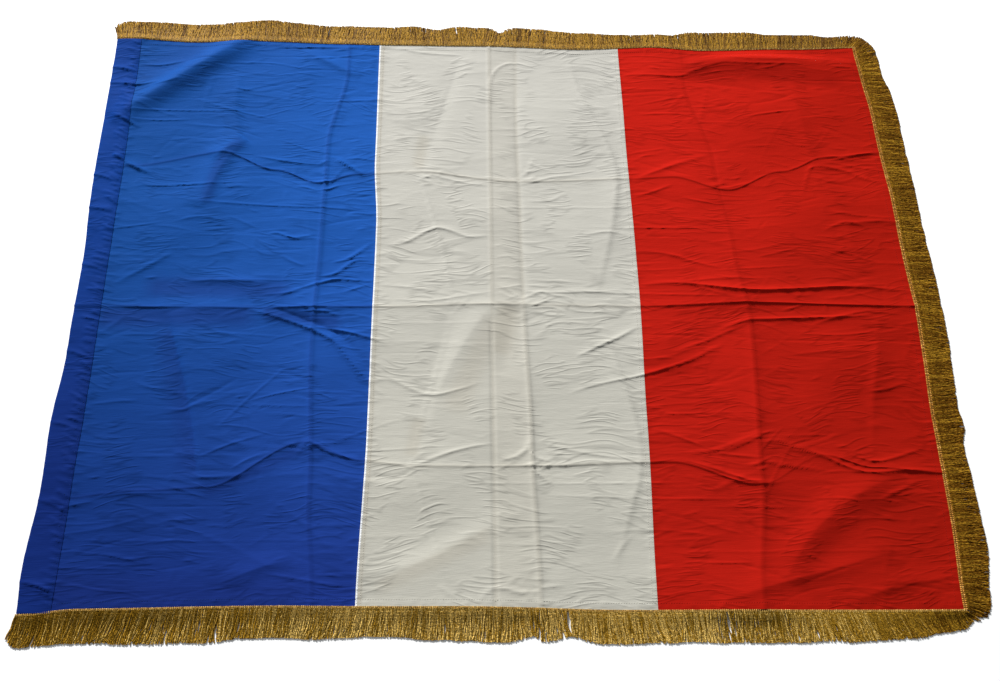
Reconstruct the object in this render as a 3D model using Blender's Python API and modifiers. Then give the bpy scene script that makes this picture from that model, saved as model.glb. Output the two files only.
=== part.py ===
"""A tricolour flag of ribbed silk, laid out flat, with a pole sleeve and a bullion fringe on three sides.

Metres. +X runs from the hoist to the fly, +Y up the flag and +Z away from the surface that it lies on.
The tables below are measured from the middle of the cloth. The finished flag is moved so that the
middle of everything, fringe and all, stands over the world's origin, with its underside at z = 0.
"""

import math
import random
from collections import namedtuple

import bmesh
import bpy

COLLECTION = "tricolour_flag"
SEED = 7
MIDDLE = (0.0305, 0.0030)

CLOTH = 0.0016
SLEEVE_CLOTH = 0.0010
GAP = 0.0004
LAYER_GAP = 0.0005
SLEEVE_GRIP = 0.012
GRIP_END = 0.010
GRIP_RAMP = 0.015

HEADING_WIDTH = 0.006
HEADING_THICK = 0.0030
STRAND_THICK = 0.0022
TOOTH_GAP = 0.0030
TOOTH_BULGE = 0.0030
LENGTH_SPREAD = 0.0025
SLANT_SPREAD = 0.0030
SLANT_WAVES = 61.0
BED_AT_BRAID = 0.7
TIP_LIFT = 0.0012
MITRE = math.radians(45)
FREE_FAN = math.radians(-17)
FAN_REACH = 0.065
FAN_EASE = 1.5
MITRE_GAP = 0.5 * GAP * math.sqrt(2)

# The flag's edges and seams, as an offset at each place along them.
Stop = namedtuple("Stop", "along offset")

HOIST_X = (
    Stop(-0.600, -0.801), Stop(-0.530, -0.805), Stop(-0.350, -0.797), Stop(-0.265, -0.800),
    Stop(-0.100, -0.794), Stop(0.050, -0.794), Stop(0.250, -0.801), Stop(0.600, -0.802),
)
SLEEVE_X = (
    Stop(-0.600, -0.747), Stop(-0.200, -0.746), Stop(0.200, -0.748), Stop(0.450, -0.752),
    Stop(0.600, -0.760),
)
BLUE_WHITE_X = (
    Stop(-0.590, -0.240), Stop(-0.280, -0.233), Stop(0.150, -0.232), Stop(0.300, -0.240),
    Stop(0.590, -0.241),
)
WHITE_RED_X = (
    Stop(-0.600, 0.275), Stop(-0.250, 0.281), Stop(0.000, 0.284), Stop(0.400, 0.279),
    Stop(0.590, 0.277),
)
FLY_X = (
    Stop(-0.600, 0.803), Stop(-0.450, 0.812), Stop(-0.280, 0.813), Stop(-0.030, 0.822),
    Stop(0.200, 0.816), Stop(0.400, 0.811), Stop(0.604, 0.797),
)
TOP_Y = (
    Stop(-0.800, 0.604), Stop(-0.760, 0.605), Stop(-0.620, 0.596), Stop(-0.500, 0.604),
    Stop(-0.340, 0.597), Stop(0.000, 0.597), Stop(0.190, 0.591), Stop(0.350, 0.600),
    Stop(0.460, 0.592), Stop(0.640, 0.600), Stop(0.797, 0.604),
)
BOTTOM_Y = (
    Stop(-0.800, -0.598), Stop(-0.700, -0.590), Stop(-0.400, -0.587), Stop(-0.100, -0.590),
    Stop(0.270, -0.599), Stop(0.803, -0.602),
)

# The folds from storage: four run the height of the flag and three run its width.
BLUE_FOLD_X = (
    Stop(-0.580, -0.315), Stop(-0.400, -0.330), Stop(-0.100, -0.344), Stop(0.100, -0.340),
    Stop(0.340, -0.338), Stop(0.530, -0.305),
)
MIDDLE_FOLD_X = (
    Stop(-0.580, -0.002), Stop(0.000, -0.004), Stop(0.580, -0.005),
)
STRIP_FOLD_X = (
    Stop(-0.580, 0.075), Stop(-0.290, 0.066), Stop(-0.030, 0.058), Stop(0.150, 0.055),
    Stop(0.400, 0.051), Stop(0.590, 0.053),
)
RED_FOLD_X = (
    Stop(-0.580, 0.458), Stop(-0.380, 0.480), Stop(-0.060, 0.495), Stop(0.100, 0.478),
    Stop(0.300, 0.460), Stop(0.510, 0.415),
)
UPPER_FOLD_Y = (
    Stop(-0.800, 0.262), Stop(-0.740, 0.285), Stop(-0.550, 0.318), Stop(-0.420, 0.270),
    Stop(-0.300, 0.254), Stop(-0.160, 0.276), Stop(0.050, 0.254), Stop(0.280, 0.262),
    Stop(0.370, 0.268), Stop(0.480, 0.238), Stop(0.600, 0.285), Stop(0.700, 0.320),
    Stop(0.820, 0.332),
)
WAIST_FOLD_Y = (
    Stop(-0.800, -0.030), Stop(-0.490, -0.033), Stop(-0.230, -0.030), Stop(0.000, -0.023),
    Stop(0.280, -0.027), Stop(0.500, -0.018), Stop(0.820, -0.025),
)
LOWER_FOLD_Y = (
    Stop(-0.800, -0.405), Stop(-0.620, -0.388), Stop(-0.510, -0.382), Stop(-0.345, -0.300),
    Stop(-0.240, -0.334), Stop(-0.145, -0.345), Stop(0.080, -0.345), Stop(0.320, -0.338),
    Stop(0.475, -0.381), Stop(0.600, -0.326), Stop(0.690, -0.350), Stop(0.820, -0.360),
)

# How high each of those folds stands, at each place along it.
BLUE_FOLD_RISE = (Stop(-0.58, 0.0020), Stop(-0.20, 0.0035), Stop(0.30, 0.0030), Stop(0.60, 0.0010))
MIDDLE_FOLD_RISE = (Stop(-0.58, 0.0012), Stop(0.25, 0.0012), Stop(0.48, 0.0050), Stop(0.60, 0.0030))
STRIP_FOLD_RISE = (Stop(-0.58, 0.0040), Stop(-0.34, 0.0060), Stop(-0.10, 0.0025), Stop(0.60, 0.0025))
RED_FOLD_RISE = (Stop(-0.58, 0.0030), Stop(-0.28, 0.0050), Stop(0.10, 0.0050), Stop(0.60, 0.0015))
UPPER_FOLD_RISE = (
    Stop(-0.80, 0.0010), Stop(-0.52, 0.0045), Stop(-0.24, 0.0035), Stop(0.05, 0.0060),
    Stop(0.30, 0.0025), Stop(0.52, 0.0060), Stop(0.82, 0.0040),
)
WAIST_FOLD_RISE = (
    Stop(-0.80, 0.0035), Stop(-0.50, 0.0040), Stop(-0.25, 0.0050), Stop(0.06, 0.0070),
    Stop(0.28, 0.0045), Stop(0.50, 0.0085), Stop(0.82, 0.0065),
)
LOWER_FOLD_RISE = (
    Stop(-0.80, 0.0020), Stop(-0.40, 0.0045), Stop(-0.15, 0.0030), Stop(0.08, 0.0070),
    Stop(0.35, 0.0040), Stop(0.64, 0.0055), Stop(0.82, 0.0040),
)

UPRIGHT_FOLDS = (
    (BLUE_FOLD_X, BLUE_FOLD_RISE), (MIDDLE_FOLD_X, MIDDLE_FOLD_RISE),
    (STRIP_FOLD_X, STRIP_FOLD_RISE), (RED_FOLD_X, RED_FOLD_RISE),
)
LEVEL_FOLDS = (
    (UPPER_FOLD_Y, UPPER_FOLD_RISE), (WAIST_FOLD_Y, WAIST_FOLD_RISE), (LOWER_FOLD_Y, LOWER_FOLD_RISE),
)

# The free wrinkles: where each one runs, how high it stands and how far it reaches to either side.
Wrinkle = namedtuple("Wrinkle", "run rise reach")
WRINKLES = (
    Wrinkle(((-0.745, 0.445), (-0.690, 0.500), (-0.600, 0.572)), 0.0110, 0.050),
    Wrinkle(((-0.745, 0.540), (-0.650, 0.548)), 0.0035, 0.035),
    Wrinkle(((-0.610, -0.060), (-0.580, -0.170), (-0.530, -0.350)), 0.0050, 0.045),
    Wrinkle(((-0.590, 0.180), (-0.510, 0.350)), 0.0035, 0.045),
    Wrinkle(((-0.470, -0.035), (-0.350, -0.075), (-0.285, -0.125), (-0.205, -0.210)), 0.0065, 0.035),
    Wrinkle(((-0.320, -0.060), (-0.200, -0.102)), 0.0040, 0.035),
    Wrinkle(((-0.480, 0.305), (-0.340, 0.296), (-0.260, 0.300)), 0.0035, 0.035),
    Wrinkle(((-0.560, -0.355), (-0.530, -0.367), (-0.345, -0.372)), 0.0030, 0.035),
    Wrinkle(((-0.300, 0.070), (-0.200, 0.137), (-0.115, 0.148), (-0.020, 0.126)), 0.0045, 0.035),
    Wrinkle(((-0.120, 0.390), (-0.150, 0.310)), 0.0040, 0.040),
    Wrinkle(((0.190, 0.480), (0.245, 0.300), (0.235, 0.150), (0.215, 0.050)), 0.0040, 0.040),
    Wrinkle(((-0.220, -0.177), (-0.115, -0.212), (-0.030, -0.185)), 0.0035, 0.035),
    Wrinkle(((0.155, -0.133), (0.200, -0.110), (0.275, -0.070)), 0.0045, 0.035),
    Wrinkle(((0.135, -0.208), (0.280, -0.170), (0.430, -0.105), (0.600, -0.097)), 0.0045, 0.035),
    Wrinkle(((0.000, 0.500), (0.050, 0.560), (0.200, 0.562)), 0.0050, 0.035),
    Wrinkle(((0.360, 0.030), (0.480, 0.012), (0.640, 0.026), (0.800, 0.020)), 0.0050, 0.035),
    Wrinkle(((0.430, -0.070), (0.600, -0.053), (0.740, -0.045)), 0.0035, 0.035),
    Wrinkle(((0.300, 0.265), (0.450, 0.322)), 0.0030, 0.035),
    Wrinkle(((0.450, 0.575), (0.600, 0.580), (0.720, 0.570)), 0.0040, 0.040),
    Wrinkle(((0.290, -0.275), (0.380, -0.310), (0.480, -0.293)), 0.0035, 0.035),
    Wrinkle(((0.745, -0.080), (0.715, -0.200), (0.695, -0.300)), 0.0040, 0.040),
    Wrinkle(((-0.230, -0.545), (-0.080, -0.500), (0.030, -0.430)), 0.0040, 0.045),
    Wrinkle(((0.650, -0.440), (0.560, -0.500)), 0.0035, 0.045),
    Wrinkle(((0.380, -0.590), (0.450, -0.565), (0.700, -0.520)), 0.0035, 0.040),
    Wrinkle(((-0.470, -0.545), (-0.350, -0.512)), 0.0030, 0.040),
)
FOLD_REACH = 0.026
CREST_SHARPNESS = 1.5
END_FADE = 0.040
END_SHARE = 0.35

# How far the fringe's strands reach past the cloth, at each place along its three sides.
TOP_REACH = (
    Stop(-0.800, 0.052), Stop(-0.640, 0.053), Stop(-0.475, 0.060), Stop(-0.340, 0.053),
    Stop(-0.240, 0.052), Stop(-0.120, 0.046), Stop(0.055, 0.056), Stop(0.200, 0.049),
    Stop(0.300, 0.036), Stop(0.390, 0.037), Stop(0.490, 0.056), Stop(0.600, 0.044),
    Stop(0.760, 0.040), Stop(0.800, 0.050),
)
FLY_REACH = (
    Stop(-0.600, 0.050), Stop(-0.500, 0.060), Stop(-0.300, 0.054), Stop(-0.200, 0.057),
    Stop(0.060, 0.057), Stop(0.440, 0.060), Stop(0.604, 0.052),
)
BOTTOM_REACH = (
    Stop(-0.800, 0.055), Stop(-0.500, 0.057), Stop(-0.340, 0.053), Stop(-0.170, 0.051),
    Stop(0.015, 0.058), Stop(0.060, 0.047), Stop(0.180, 0.057), Stop(0.500, 0.053),
    Stop(0.700, 0.047), Stop(0.780, 0.038), Stop(0.803, 0.048),
)

# The sheet's columns between each pair of upright lines, and its rows between each pair of level ones.
# They crowd by this share towards the lines, where the folds are.
CROWDING = 0.35
BLUE_COLUMNS = (1, 11, 3)
WHITE_COLUMNS = (6, 2, 6)
RED_COLUMNS = (5, 9)
SLEEVE_COLUMNS = 3
SLEEVE_TEETH = 2
FOLD_END_SIDES = 3
LEVELS = (BOTTOM_Y, LOWER_FOLD_Y, WAIST_FOLD_Y, UPPER_FOLD_Y, TOP_Y)
CROSSING_STEPS = 4
ROWS = (8, 9, 9, 9)

Strand = namedtuple("Strand", "origin along lean sideways inner braid")
Finish = namedtuple("Finish", "colour roughness")
FINISHES = {
    "sleeve": Finish((0.013, 0.050, 0.290), 0.55),
    "blue": Finish((0.017, 0.090, 0.390), 0.50),
    "white": Finish((0.610, 0.590, 0.520), 0.55),
    "red": Finish((0.460, 0.012, 0.006), 0.50),
    "fringe": Finish((0.270, 0.145, 0.022), 0.60),
}


def between(table, along):
    """The table's offset at this place along it, eased from stop to stop."""
    if along <= table[0].along:
        return table[0].offset
    for low, high in zip(table, table[1:]):
        if along <= high.along:
            share = (along - low.along) / (high.along - low.along)
            eased = share * share * (3 - 2 * share)
            return low.offset + (high.offset - low.offset) * eased
    return table[-1].offset


def crowded(share):
    """Moves an evenly spaced share of the way towards the nearer end."""
    return share - CROWDING * math.sin(2 * math.pi * share) / (2 * math.pi)


def shares(counts):
    """For each grid line, the pair of main lines that it lies between and its share of the way."""
    lines = [(pair, crowded(step / count)) for pair, count in enumerate(counts) for step in range(count)]
    return lines + [(len(counts) - 1, 1.0)]


def line_between(lines, pair, share, along):
    """The offset of a grid line that lies this share of the way between two main lines."""
    low = between(lines[pair], along)
    high = between(lines[pair + 1], along)
    return low + (high - low) * share


def distance_along(run, x, y):
    """How far a point lies from a run of straight stretches, and from the nearer of its two ends."""
    nearest = math.inf
    place = 0.0
    length = 0.0
    for (x0, y0), (x1, y1) in zip(run, run[1:]):
        stretch = math.hypot(x1 - x0, y1 - y0)
        share = ((x - x0) * (x1 - x0) + (y - y0) * (y1 - y0)) / stretch**2
        share = min(1.0, max(0.0, share))
        away = math.hypot(x - x0 - share * (x1 - x0), y - y0 - share * (y1 - y0))
        if away < nearest:
            nearest = away
            place = length + share * stretch
        length += stretch
    return nearest, min(place, length - place)


def ridge(away, reach):
    """The share of a fold's rise that is left at this distance from its crest."""
    if away >= reach:
        return 0.0
    return (1 - away / reach) ** CREST_SHARPNESS


def relief(x, y):
    """How high the underside of the cloth stands at a point. The double sleeve takes no fold of its own."""
    x = max(x, between(SLEEVE_X, y) + GRIP_END)
    height = 0.0
    for line, rise in UPRIGHT_FOLDS:
        height += between(rise, y) * ridge(abs(x - between(line, y)), FOLD_REACH)
    for line, rise in LEVEL_FOLDS:
        height += between(rise, x) * ridge(abs(y - between(line, x)), FOLD_REACH)
    for wrinkle in WRINKLES:
        away, from_end = distance_along(wrinkle.run, x, y)
        fade = min(1.0, END_SHARE + from_end / END_FADE)
        height += wrinkle.rise * fade * ridge(away, wrinkle.reach)
    return height


def grid_point(uprights, column, row):
    """Where a column of one panel crosses a row of the flag."""
    x = 0.0
    y = 0.0
    for _ in range(CROSSING_STEPS):
        x = line_between(uprights, *column, y)
        y = line_between(LEVELS, *row, x)
    return x, y


def object_of(name, mesh_edit, finish, place, collection):
    """Makes an object of a finished mesh, with its material, under the flag's place."""
    bmesh.ops.recalc_face_normals(mesh_edit, faces=mesh_edit.faces[:])
    mesh = bpy.data.meshes.new(name)
    mesh_edit.to_mesh(mesh)
    mesh_edit.free()
    mesh.materials.append(material_of(finish))
    made = bpy.data.objects.new(name, mesh)
    made.parent = place
    collection.objects.link(made)
    return made


def material_of(name):
    """The Principled material of one finish."""
    finish = FINISHES[name]
    material = bpy.data.materials.new(name)
    material.use_nodes = True
    shader = material.node_tree.nodes["Principled BSDF"]
    shader.inputs["Base Color"].default_value = (*finish.colour, 1.0)
    shader.inputs["Roughness"].default_value = finish.roughness
    shader.inputs["Metallic"].default_value = 0.0
    return material


def thicken(mesh_edit, thickness):
    """Raises a copy of the underside straight up and walls in its edge, which closes the sheet.

    thickness is the layer that holds each vertex's own thickness.
    """
    raised = bmesh.ops.extrude_face_region(mesh_edit, geom=mesh_edit.faces[:])["geom"]
    for vertex in raised:
        if isinstance(vertex, bmesh.types.BMVert):
            vertex.co.z += vertex[thickness]


def panel(name, uprights, counts, finish, place, collection):
    """One panel of the flag: a sheet between two seams, lying in the flag's folds."""
    columns = shares(counts)
    rows = shares(ROWS)
    mesh_edit = bmesh.new()
    thickness = mesh_edit.verts.layers.float.new("thickness")
    bmesh.ops.create_grid(mesh_edit, x_segments=len(columns) - 1, y_segments=len(rows) - 1, size=0.5)
    for vertex in mesh_edit.verts:
        column = round((vertex.co.x + 0.5) * (len(columns) - 1))
        row = round((vertex.co.y + 0.5) * (len(rows) - 1))
        x, y = grid_point(uprights, columns[column], rows[row])
        vertex.co = (x, y, relief(x, y) + grip_lift(x, y))
        vertex[thickness] = CLOTH
    thicken(mesh_edit, thickness)
    return object_of(name, mesh_edit, finish, place, collection)


def grip_lift(x, y):
    """How far the blue panel rises so that its edge lies between the sleeve's two layers."""
    past_grip = x - between(SLEEVE_X, y) - GRIP_END
    return (SLEEVE_CLOTH + LAYER_GAP) * min(1.0, max(0.0, 1 - past_grip / GRIP_RAMP))


def shifted(table, by):
    """The same line, moved sideways."""
    return tuple(Stop(stop.along, stop.offset + by) for stop in table)


def sleeve_section(hoist, seam, lower, upper):
    """The inner side of the sleeve's section, from the seam round the hoist edge and back to the seam."""
    radius = (upper - lower) / 2
    inner_edge = hoist + SLEEVE_CLOTH + radius
    flat = [seam + (inner_edge - seam) * step / SLEEVE_COLUMNS for step in range(SLEEVE_COLUMNS + 1)]
    turns = [math.pi * step / FOLD_END_SIDES for step in range(1, FOLD_END_SIDES)]
    section = [(seam, lower), (inner_edge, lower)]
    section += [
        (inner_edge - radius * math.sin(turn), lower + radius * (1 - math.cos(turn))) for turn in turns
    ]
    return section + [(x, upper) for x in reversed(flat)]


def sleeve(name, finish, place, collection):
    """The pole sleeve: a strip folded over along the hoist, holding the blue panel's edge in its layers."""
    mesh_edit = bmesh.new()
    rings = []
    for row in shares(ROWS):
        x, y = grid_point((SLEEVE_X, SLEEVE_X), (0, 0.0), row)
        bed = relief(x, y)
        lower = bed + SLEEVE_CLOTH
        upper = lower + LAYER_GAP + CLOTH + LAYER_GAP
        ring = []
        for across, height in sleeve_section(between(HOIST_X, y), x, lower, upper):
            level = grid_point((shifted(SLEEVE_X, across - x),) * 2, (0, 0.0), row)[1]
            ring.append(mesh_edit.verts.new((across, level, height)))
        rings.append(ring)
    for low, high in zip(rings, rings[1:]):
        for side in range(len(low) - 1):
            mesh_edit.faces.new((low[side], high[side], high[side + 1], low[side + 1]))
    made = object_of(name, mesh_edit, finish, place, collection)
    shell = made.modifiers.new("cloth", "SOLIDIFY")
    shell.thickness = SLEEVE_CLOTH
    shell.offset = 1.0
    return made


def fan(along, start, end, lean_start, lean_end):
    """How far the strands lean from straight out, near the two ends of one side of the fringe."""
    near_start = max(0.0, 1 - (along - start) / FAN_REACH)
    near_end = max(0.0, 1 - (end - along) / FAN_REACH)
    return lean_start * near_start**FAN_EASE + lean_end * near_end**FAN_EASE


def mitre_shift(along, start, end, leans):
    """How far a comb's last line of strands draws back from the mitre that it shares with the next comb."""
    if along == end and leans[1] == MITRE:
        return -MITRE_GAP
    if along == start and leans[0] == -MITRE:
        return MITRE_GAP
    return 0.0


def comb(name, edge, outward, reach, leans, place, collection):
    """One side of the fringe: a heading along the cloth's edge with a tooth for each lock of strands.

    edge lists points on the cloth's edge, from the hoist to the fly or from the bottom to the top.
    outward is the direction away from the cloth, and leans are the angles towards the edge's two ends.
    """
    draw = random.Random(SEED)
    onward = (1.0, 0.0) if outward[0] == 0 else (0.0, 1.0)
    along_axis = 0 if outward[0] == 0 else 1
    start = edge[0][along_axis]
    end = edge[-1][along_axis]
    mesh_edit = bmesh.new()
    thickness = mesh_edit.verts.layers.float.new("thickness")

    def point(origin, lean, distance, sideways, lift, thick):
        """A vertex this far from the cloth's edge along a strand, on the surface or a little above it."""
        out = distance * math.cos(lean)
        over = distance * math.sin(lean) + sideways
        x = origin[0] + outward[0] * out + onward[0] * over
        y = origin[1] + outward[1] * out + onward[1] * over
        vertex = mesh_edit.verts.new((x, y, lift))
        vertex[thickness] = thick
        return vertex

    strands = []
    for x, y in edge:
        along = (x, y)[along_axis]
        lean = fan(along, start, end, *leans)
        sideways = mitre_shift(along, start, end, leans)
        origin = (x + outward[0] * GAP, y + outward[1] * GAP)
        bed = relief(x, y)
        inner = point(origin, lean, 0.0, sideways, bed, HEADING_THICK)
        width = HEADING_WIDTH / math.cos(lean)
        braid = point(origin, lean, width, sideways, bed * BED_AT_BRAID, HEADING_THICK)
        strands.append(Strand(origin, along, lean, sideways, inner, braid))
    for low, high in zip(strands, strands[1:]):
        mesh_edit.faces.new((low.inner, high.inner, high.braid, low.braid))
        length = draw.uniform(-LENGTH_SPREAD, LENGTH_SPREAD)
        lift = draw.uniform(0.0, TIP_LIFT)
        tips = []
        for strand, inset in ((low, TOOTH_GAP / 2), (high, -TOOTH_GAP / 2)):
            shift = inset + SLANT_SPREAD * math.sin(SLANT_WAVES * strand.along)
            shift = 0.0 if strand.along in (start, end) else shift
            distance = between(reach, strand.along) + length
            shift += strand.sideways
            tips.append(point(strand.origin, strand.lean, distance, shift, lift, STRAND_THICK))
        middle = [(a + b) / 2 for a, b in zip(low.origin, high.origin)]
        lean = (low.lean + high.lean) / 2
        distance = between(reach, (low.along + high.along) / 2) + length + TOOTH_BULGE
        bulge = point(middle, lean, distance, (low.sideways + high.sideways) / 2, lift, STRAND_THICK)
        mesh_edit.faces.new((low.braid, high.braid, tips[1], bulge, tips[0]))
    thicken(mesh_edit, thickness)
    return object_of(name, mesh_edit, "fringe", place, collection)


def edge_points(level, uprights_of_panels):
    """The points where the columns of the sleeve and the panels meet the top or the bottom edge."""
    points = []
    for uprights, counts in uprights_of_panels:
        for column in shares(counts):
            pair = (0, 0.0) if level is BOTTOM_Y else (len(ROWS) - 1, 1.0)
            point = grid_point(uprights, column, pair)
            if not points or point[0] - points[-1][0] > TOOTH_GAP:
                points.append(point)
    return points


def clear_scene():
    """Removes what the scene starts with."""
    for old in list(bpy.data.objects):
        bpy.data.objects.remove(old, do_unlink=True)


def main():
    clear_scene()
    collection = bpy.data.collections.new(COLLECTION)
    bpy.context.scene.collection.children.link(collection)
    place = bpy.data.objects.new("flag_place", None)
    place.location = (-MIDDLE[0], -MIDDLE[1], 0.0)
    collection.objects.link(place)

    half = GAP / 2
    hidden_edge = shifted(SLEEVE_X, -SLEEVE_GRIP)
    grip_end = shifted(SLEEVE_X, GRIP_END)
    blue = (hidden_edge, grip_end, BLUE_FOLD_X, shifted(BLUE_WHITE_X, -half))
    white = (shifted(BLUE_WHITE_X, half), MIDDLE_FOLD_X, STRIP_FOLD_X, shifted(WHITE_RED_X, -half))
    red = (shifted(WHITE_RED_X, half), RED_FOLD_X, FLY_X)
    panel("panel_blue", blue, BLUE_COLUMNS, "blue", place, collection)
    panel("panel_white", white, WHITE_COLUMNS, "white", place, collection)
    panel("panel_red", red, RED_COLUMNS, "red", place, collection)
    sleeve("hoist_sleeve", "sleeve", place, collection)

    across = (
        ((HOIST_X, grip_end), (SLEEVE_TEETH,)), (blue[1:], BLUE_COLUMNS[1:]),
        (white, WHITE_COLUMNS), (red, RED_COLUMNS),
    )
    up_the_fly = [grid_point((FLY_X, FLY_X), (0, 0.0), row) for row in shares(ROWS)]
    mitred = (FREE_FAN, MITRE)
    comb("fringe_top", edge_points(TOP_Y, across), (0, 1), TOP_REACH, mitred, place, collection)
    comb("fringe_bottom", edge_points(BOTTOM_Y, across), (0, -1), BOTTOM_REACH, mitred, place, collection)
    comb("fringe_fly", up_the_fly, (1, 0), FLY_REACH, (-MITRE, MITRE), place, collection)


main()
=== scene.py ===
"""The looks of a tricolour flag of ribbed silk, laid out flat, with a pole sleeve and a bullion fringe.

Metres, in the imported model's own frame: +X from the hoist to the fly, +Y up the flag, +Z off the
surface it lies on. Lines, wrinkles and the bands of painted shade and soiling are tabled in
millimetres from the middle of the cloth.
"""

import logging
import math
from dataclasses import dataclass, field
from enum import Enum
from typing import Any

import bpy
import numpy as np
from mathutils import Euler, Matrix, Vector


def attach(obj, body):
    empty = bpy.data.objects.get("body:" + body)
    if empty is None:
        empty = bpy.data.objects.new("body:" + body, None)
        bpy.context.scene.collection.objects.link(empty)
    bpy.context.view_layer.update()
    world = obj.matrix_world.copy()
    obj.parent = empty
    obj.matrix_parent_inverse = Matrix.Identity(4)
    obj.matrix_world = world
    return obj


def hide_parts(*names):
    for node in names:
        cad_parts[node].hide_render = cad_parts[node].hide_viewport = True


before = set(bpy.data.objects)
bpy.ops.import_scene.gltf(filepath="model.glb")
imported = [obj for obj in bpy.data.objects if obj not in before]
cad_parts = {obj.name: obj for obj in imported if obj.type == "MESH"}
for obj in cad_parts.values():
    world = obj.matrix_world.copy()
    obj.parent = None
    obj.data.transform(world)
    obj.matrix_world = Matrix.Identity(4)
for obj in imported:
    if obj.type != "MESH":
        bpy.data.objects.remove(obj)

log = logging.getLogger("flag")

Array = np.ndarray
Pairs = tuple[tuple[float, float], ...]
Colour = tuple[float, float, float]
Inputs = dict[str | int, Any]
Piece = bpy.types.Object
Socket = bpy.types.NodeSocket

BODY = "root"
MM = 0.001
PER_METRE = 1000
MIDDLE = (0.0305, 0.0030)
GOLDEN_SHARE = 0.6180339
SHARP_EDGE = math.radians(65)


# Lines, folds and wrinkles


def in_metres(*pairs: tuple[float, float]) -> Pairs:
    """Turns pairs of millimetres into metres."""
    return tuple((first / PER_METRE, second / PER_METRE) for first, second in pairs)


def from_rows(kind: type, *rows: tuple[Any, ...]) -> tuple[Any, ...]:
    """Makes an item of this kind from each row: its run in millimetres, then its other fields."""
    return tuple(kind(in_metres(*run), *sizes) for run, *sizes in rows)


@dataclass(frozen=True)
class Line:
    """A line up or across the flag, as its offset at each of a few places along it.

    Attributes:
        stops: (place, offset) pairs, in order of place.
    """

    stops: Pairs

    def at(self, place: Array | float) -> Array:
        """The line's offset, eased from stop to stop.

        Args:
            place: Where along the line, in metres.

        Returns:
            The offset at each place.
        """
        places, offsets = np.array(self.stops).T
        low = np.clip(np.searchsorted(places, place, side="right") - 1, 0, len(places) - 2)
        share = np.clip((place - places[low]) / (places[low + 1] - places[low]), 0.0, 1.0)
        eased = share * share * (3 - 2 * share)
        return offsets[low] + (offsets[low + 1] - offsets[low]) * eased

    def moved(self, by: float) -> "Line":
        """The same line, this far to the side."""
        return Line(tuple((place, offset + by) for place, offset in self.stops))


def traced(*pairs: tuple[float, float]) -> Line:
    """A line from places and offsets in millimetres."""
    return Line(in_metres(*pairs))


def varying(*pairs: tuple[float, float]) -> Line:
    """A value that varies along a line, from places in millimetres and the values there."""
    return Line(tuple((place / PER_METRE, value) for place, value in pairs))


HOIST_X = traced(
    (-600, -801), (-530, -805), (-350, -797), (-265, -800), (-100, -794), (50, -794), (250, -801),
    (600, -802),
)
SLEEVE_X = traced((-600, -747), (-200, -746), (200, -748), (450, -750), (600, -753))
BLUE_WHITE_X = traced((-590, -240), (-280, -233), (150, -232), (300, -240), (590, -241))
WHITE_RED_X = traced((-600, 275), (-250, 281), (0, 284), (400, 279), (590, 277))
FLY_X = traced((-600, 803), (-450, 812), (-280, 813), (-30, 822), (200, 816), (400, 811), (604, 797))
TOP_Y = traced(
    (-800, 604), (-760, 605), (-620, 596), (-500, 604), (-340, 597), (0, 597), (190, 591), (350, 600),
    (460, 592), (640, 600), (797, 604),
)
BOTTOM_Y = traced((-800, -598), (-700, -590), (-400, -587), (-100, -590), (270, -599), (803, -602))
BLUE_FOLD_X = traced((-580, -315), (-400, -330), (-100, -344), (100, -340), (340, -338), (530, -305))
MIDDLE_FOLD_X = traced((-580, -2), (0, -4), (580, -5))
STRIP_FOLD_X = traced((-580, 75), (-290, 66), (-30, 58), (150, 55), (400, 51), (590, 53))
RED_FOLD_X = traced((-580, 458), (-380, 480), (-60, 495), (100, 478), (300, 460), (510, 415))
UPPER_FOLD_Y = traced(
    (-800, 262), (-740, 285), (-550, 318), (-440, 278), (-350, 247), (-276, 268), (-160, 276), (50, 254),
    (280, 262), (370, 268), (480, 238), (600, 285), (700, 320), (820, 332),
)
WAIST_FOLD_Y = traced((-800, -30), (-490, -33), (-230, -30), (0, -23), (280, -27), (500, -18), (820, -25))
LOWER_FOLD_Y = traced(
    (-800, -405), (-620, -388), (-510, -382), (-345, -300), (-240, -334), (-145, -345), (80, -345),
    (320, -338), (475, -381), (600, -326), (690, -350), (820, -360),
)
LEVELS = (BOTTOM_Y, LOWER_FOLD_Y, WAIST_FOLD_Y, UPPER_FOLD_Y, TOP_Y)


@dataclass(frozen=True)
class Fold:
    """A long fold from storage, which runs the whole way up or across the flag.

    Attributes:
        line: Where its crest runs.
        rise: The crest's height at each place along it, in millimetres, below zero in a trough.
        before: How far it reaches to the hoist side of an upright fold, or below a level one.
        after: How far it reaches to its other side.
        upright: Whether it runs up the flag.
    """

    line: Line
    rise: Line
    before: float
    after: float
    upright: bool

    def height(self, x: Array, y: Array) -> Array:
        """How much the fold raises the cloth.

        Args:
            x: Places across the flag.
            y: Places up the flag.

        Returns:
            The rise in metres at each point.
        """
        along, off = (y, x) if self.upright else (x, y)
        away = off - self.line.at(along)
        return self.rise.at(along) * MM * crest(away, self.after, self.before, 1.0)


def crest(away: Array, left: float, right: float, crisp: float) -> Array:
    """The share of a wrinkle's rise that is left at a distance from its crest.

    Args:
        away: The distance from the crest, above zero on the left.
        left: How far it reaches on the left.
        right: How far it reaches on the right.
        crisp: 1 for a sharp crest and 0 for a round one.

    Returns:
        A share from 0 to 1.
    """
    part = np.abs(away) / np.where(away > 0, left, right)
    peak = 0.65 * np.exp(-1.7 * part) + 0.35 * np.exp(-6.0 * part)
    return crisp * peak + (1 - crisp) * np.exp(-1.4 * part * part)


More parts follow.
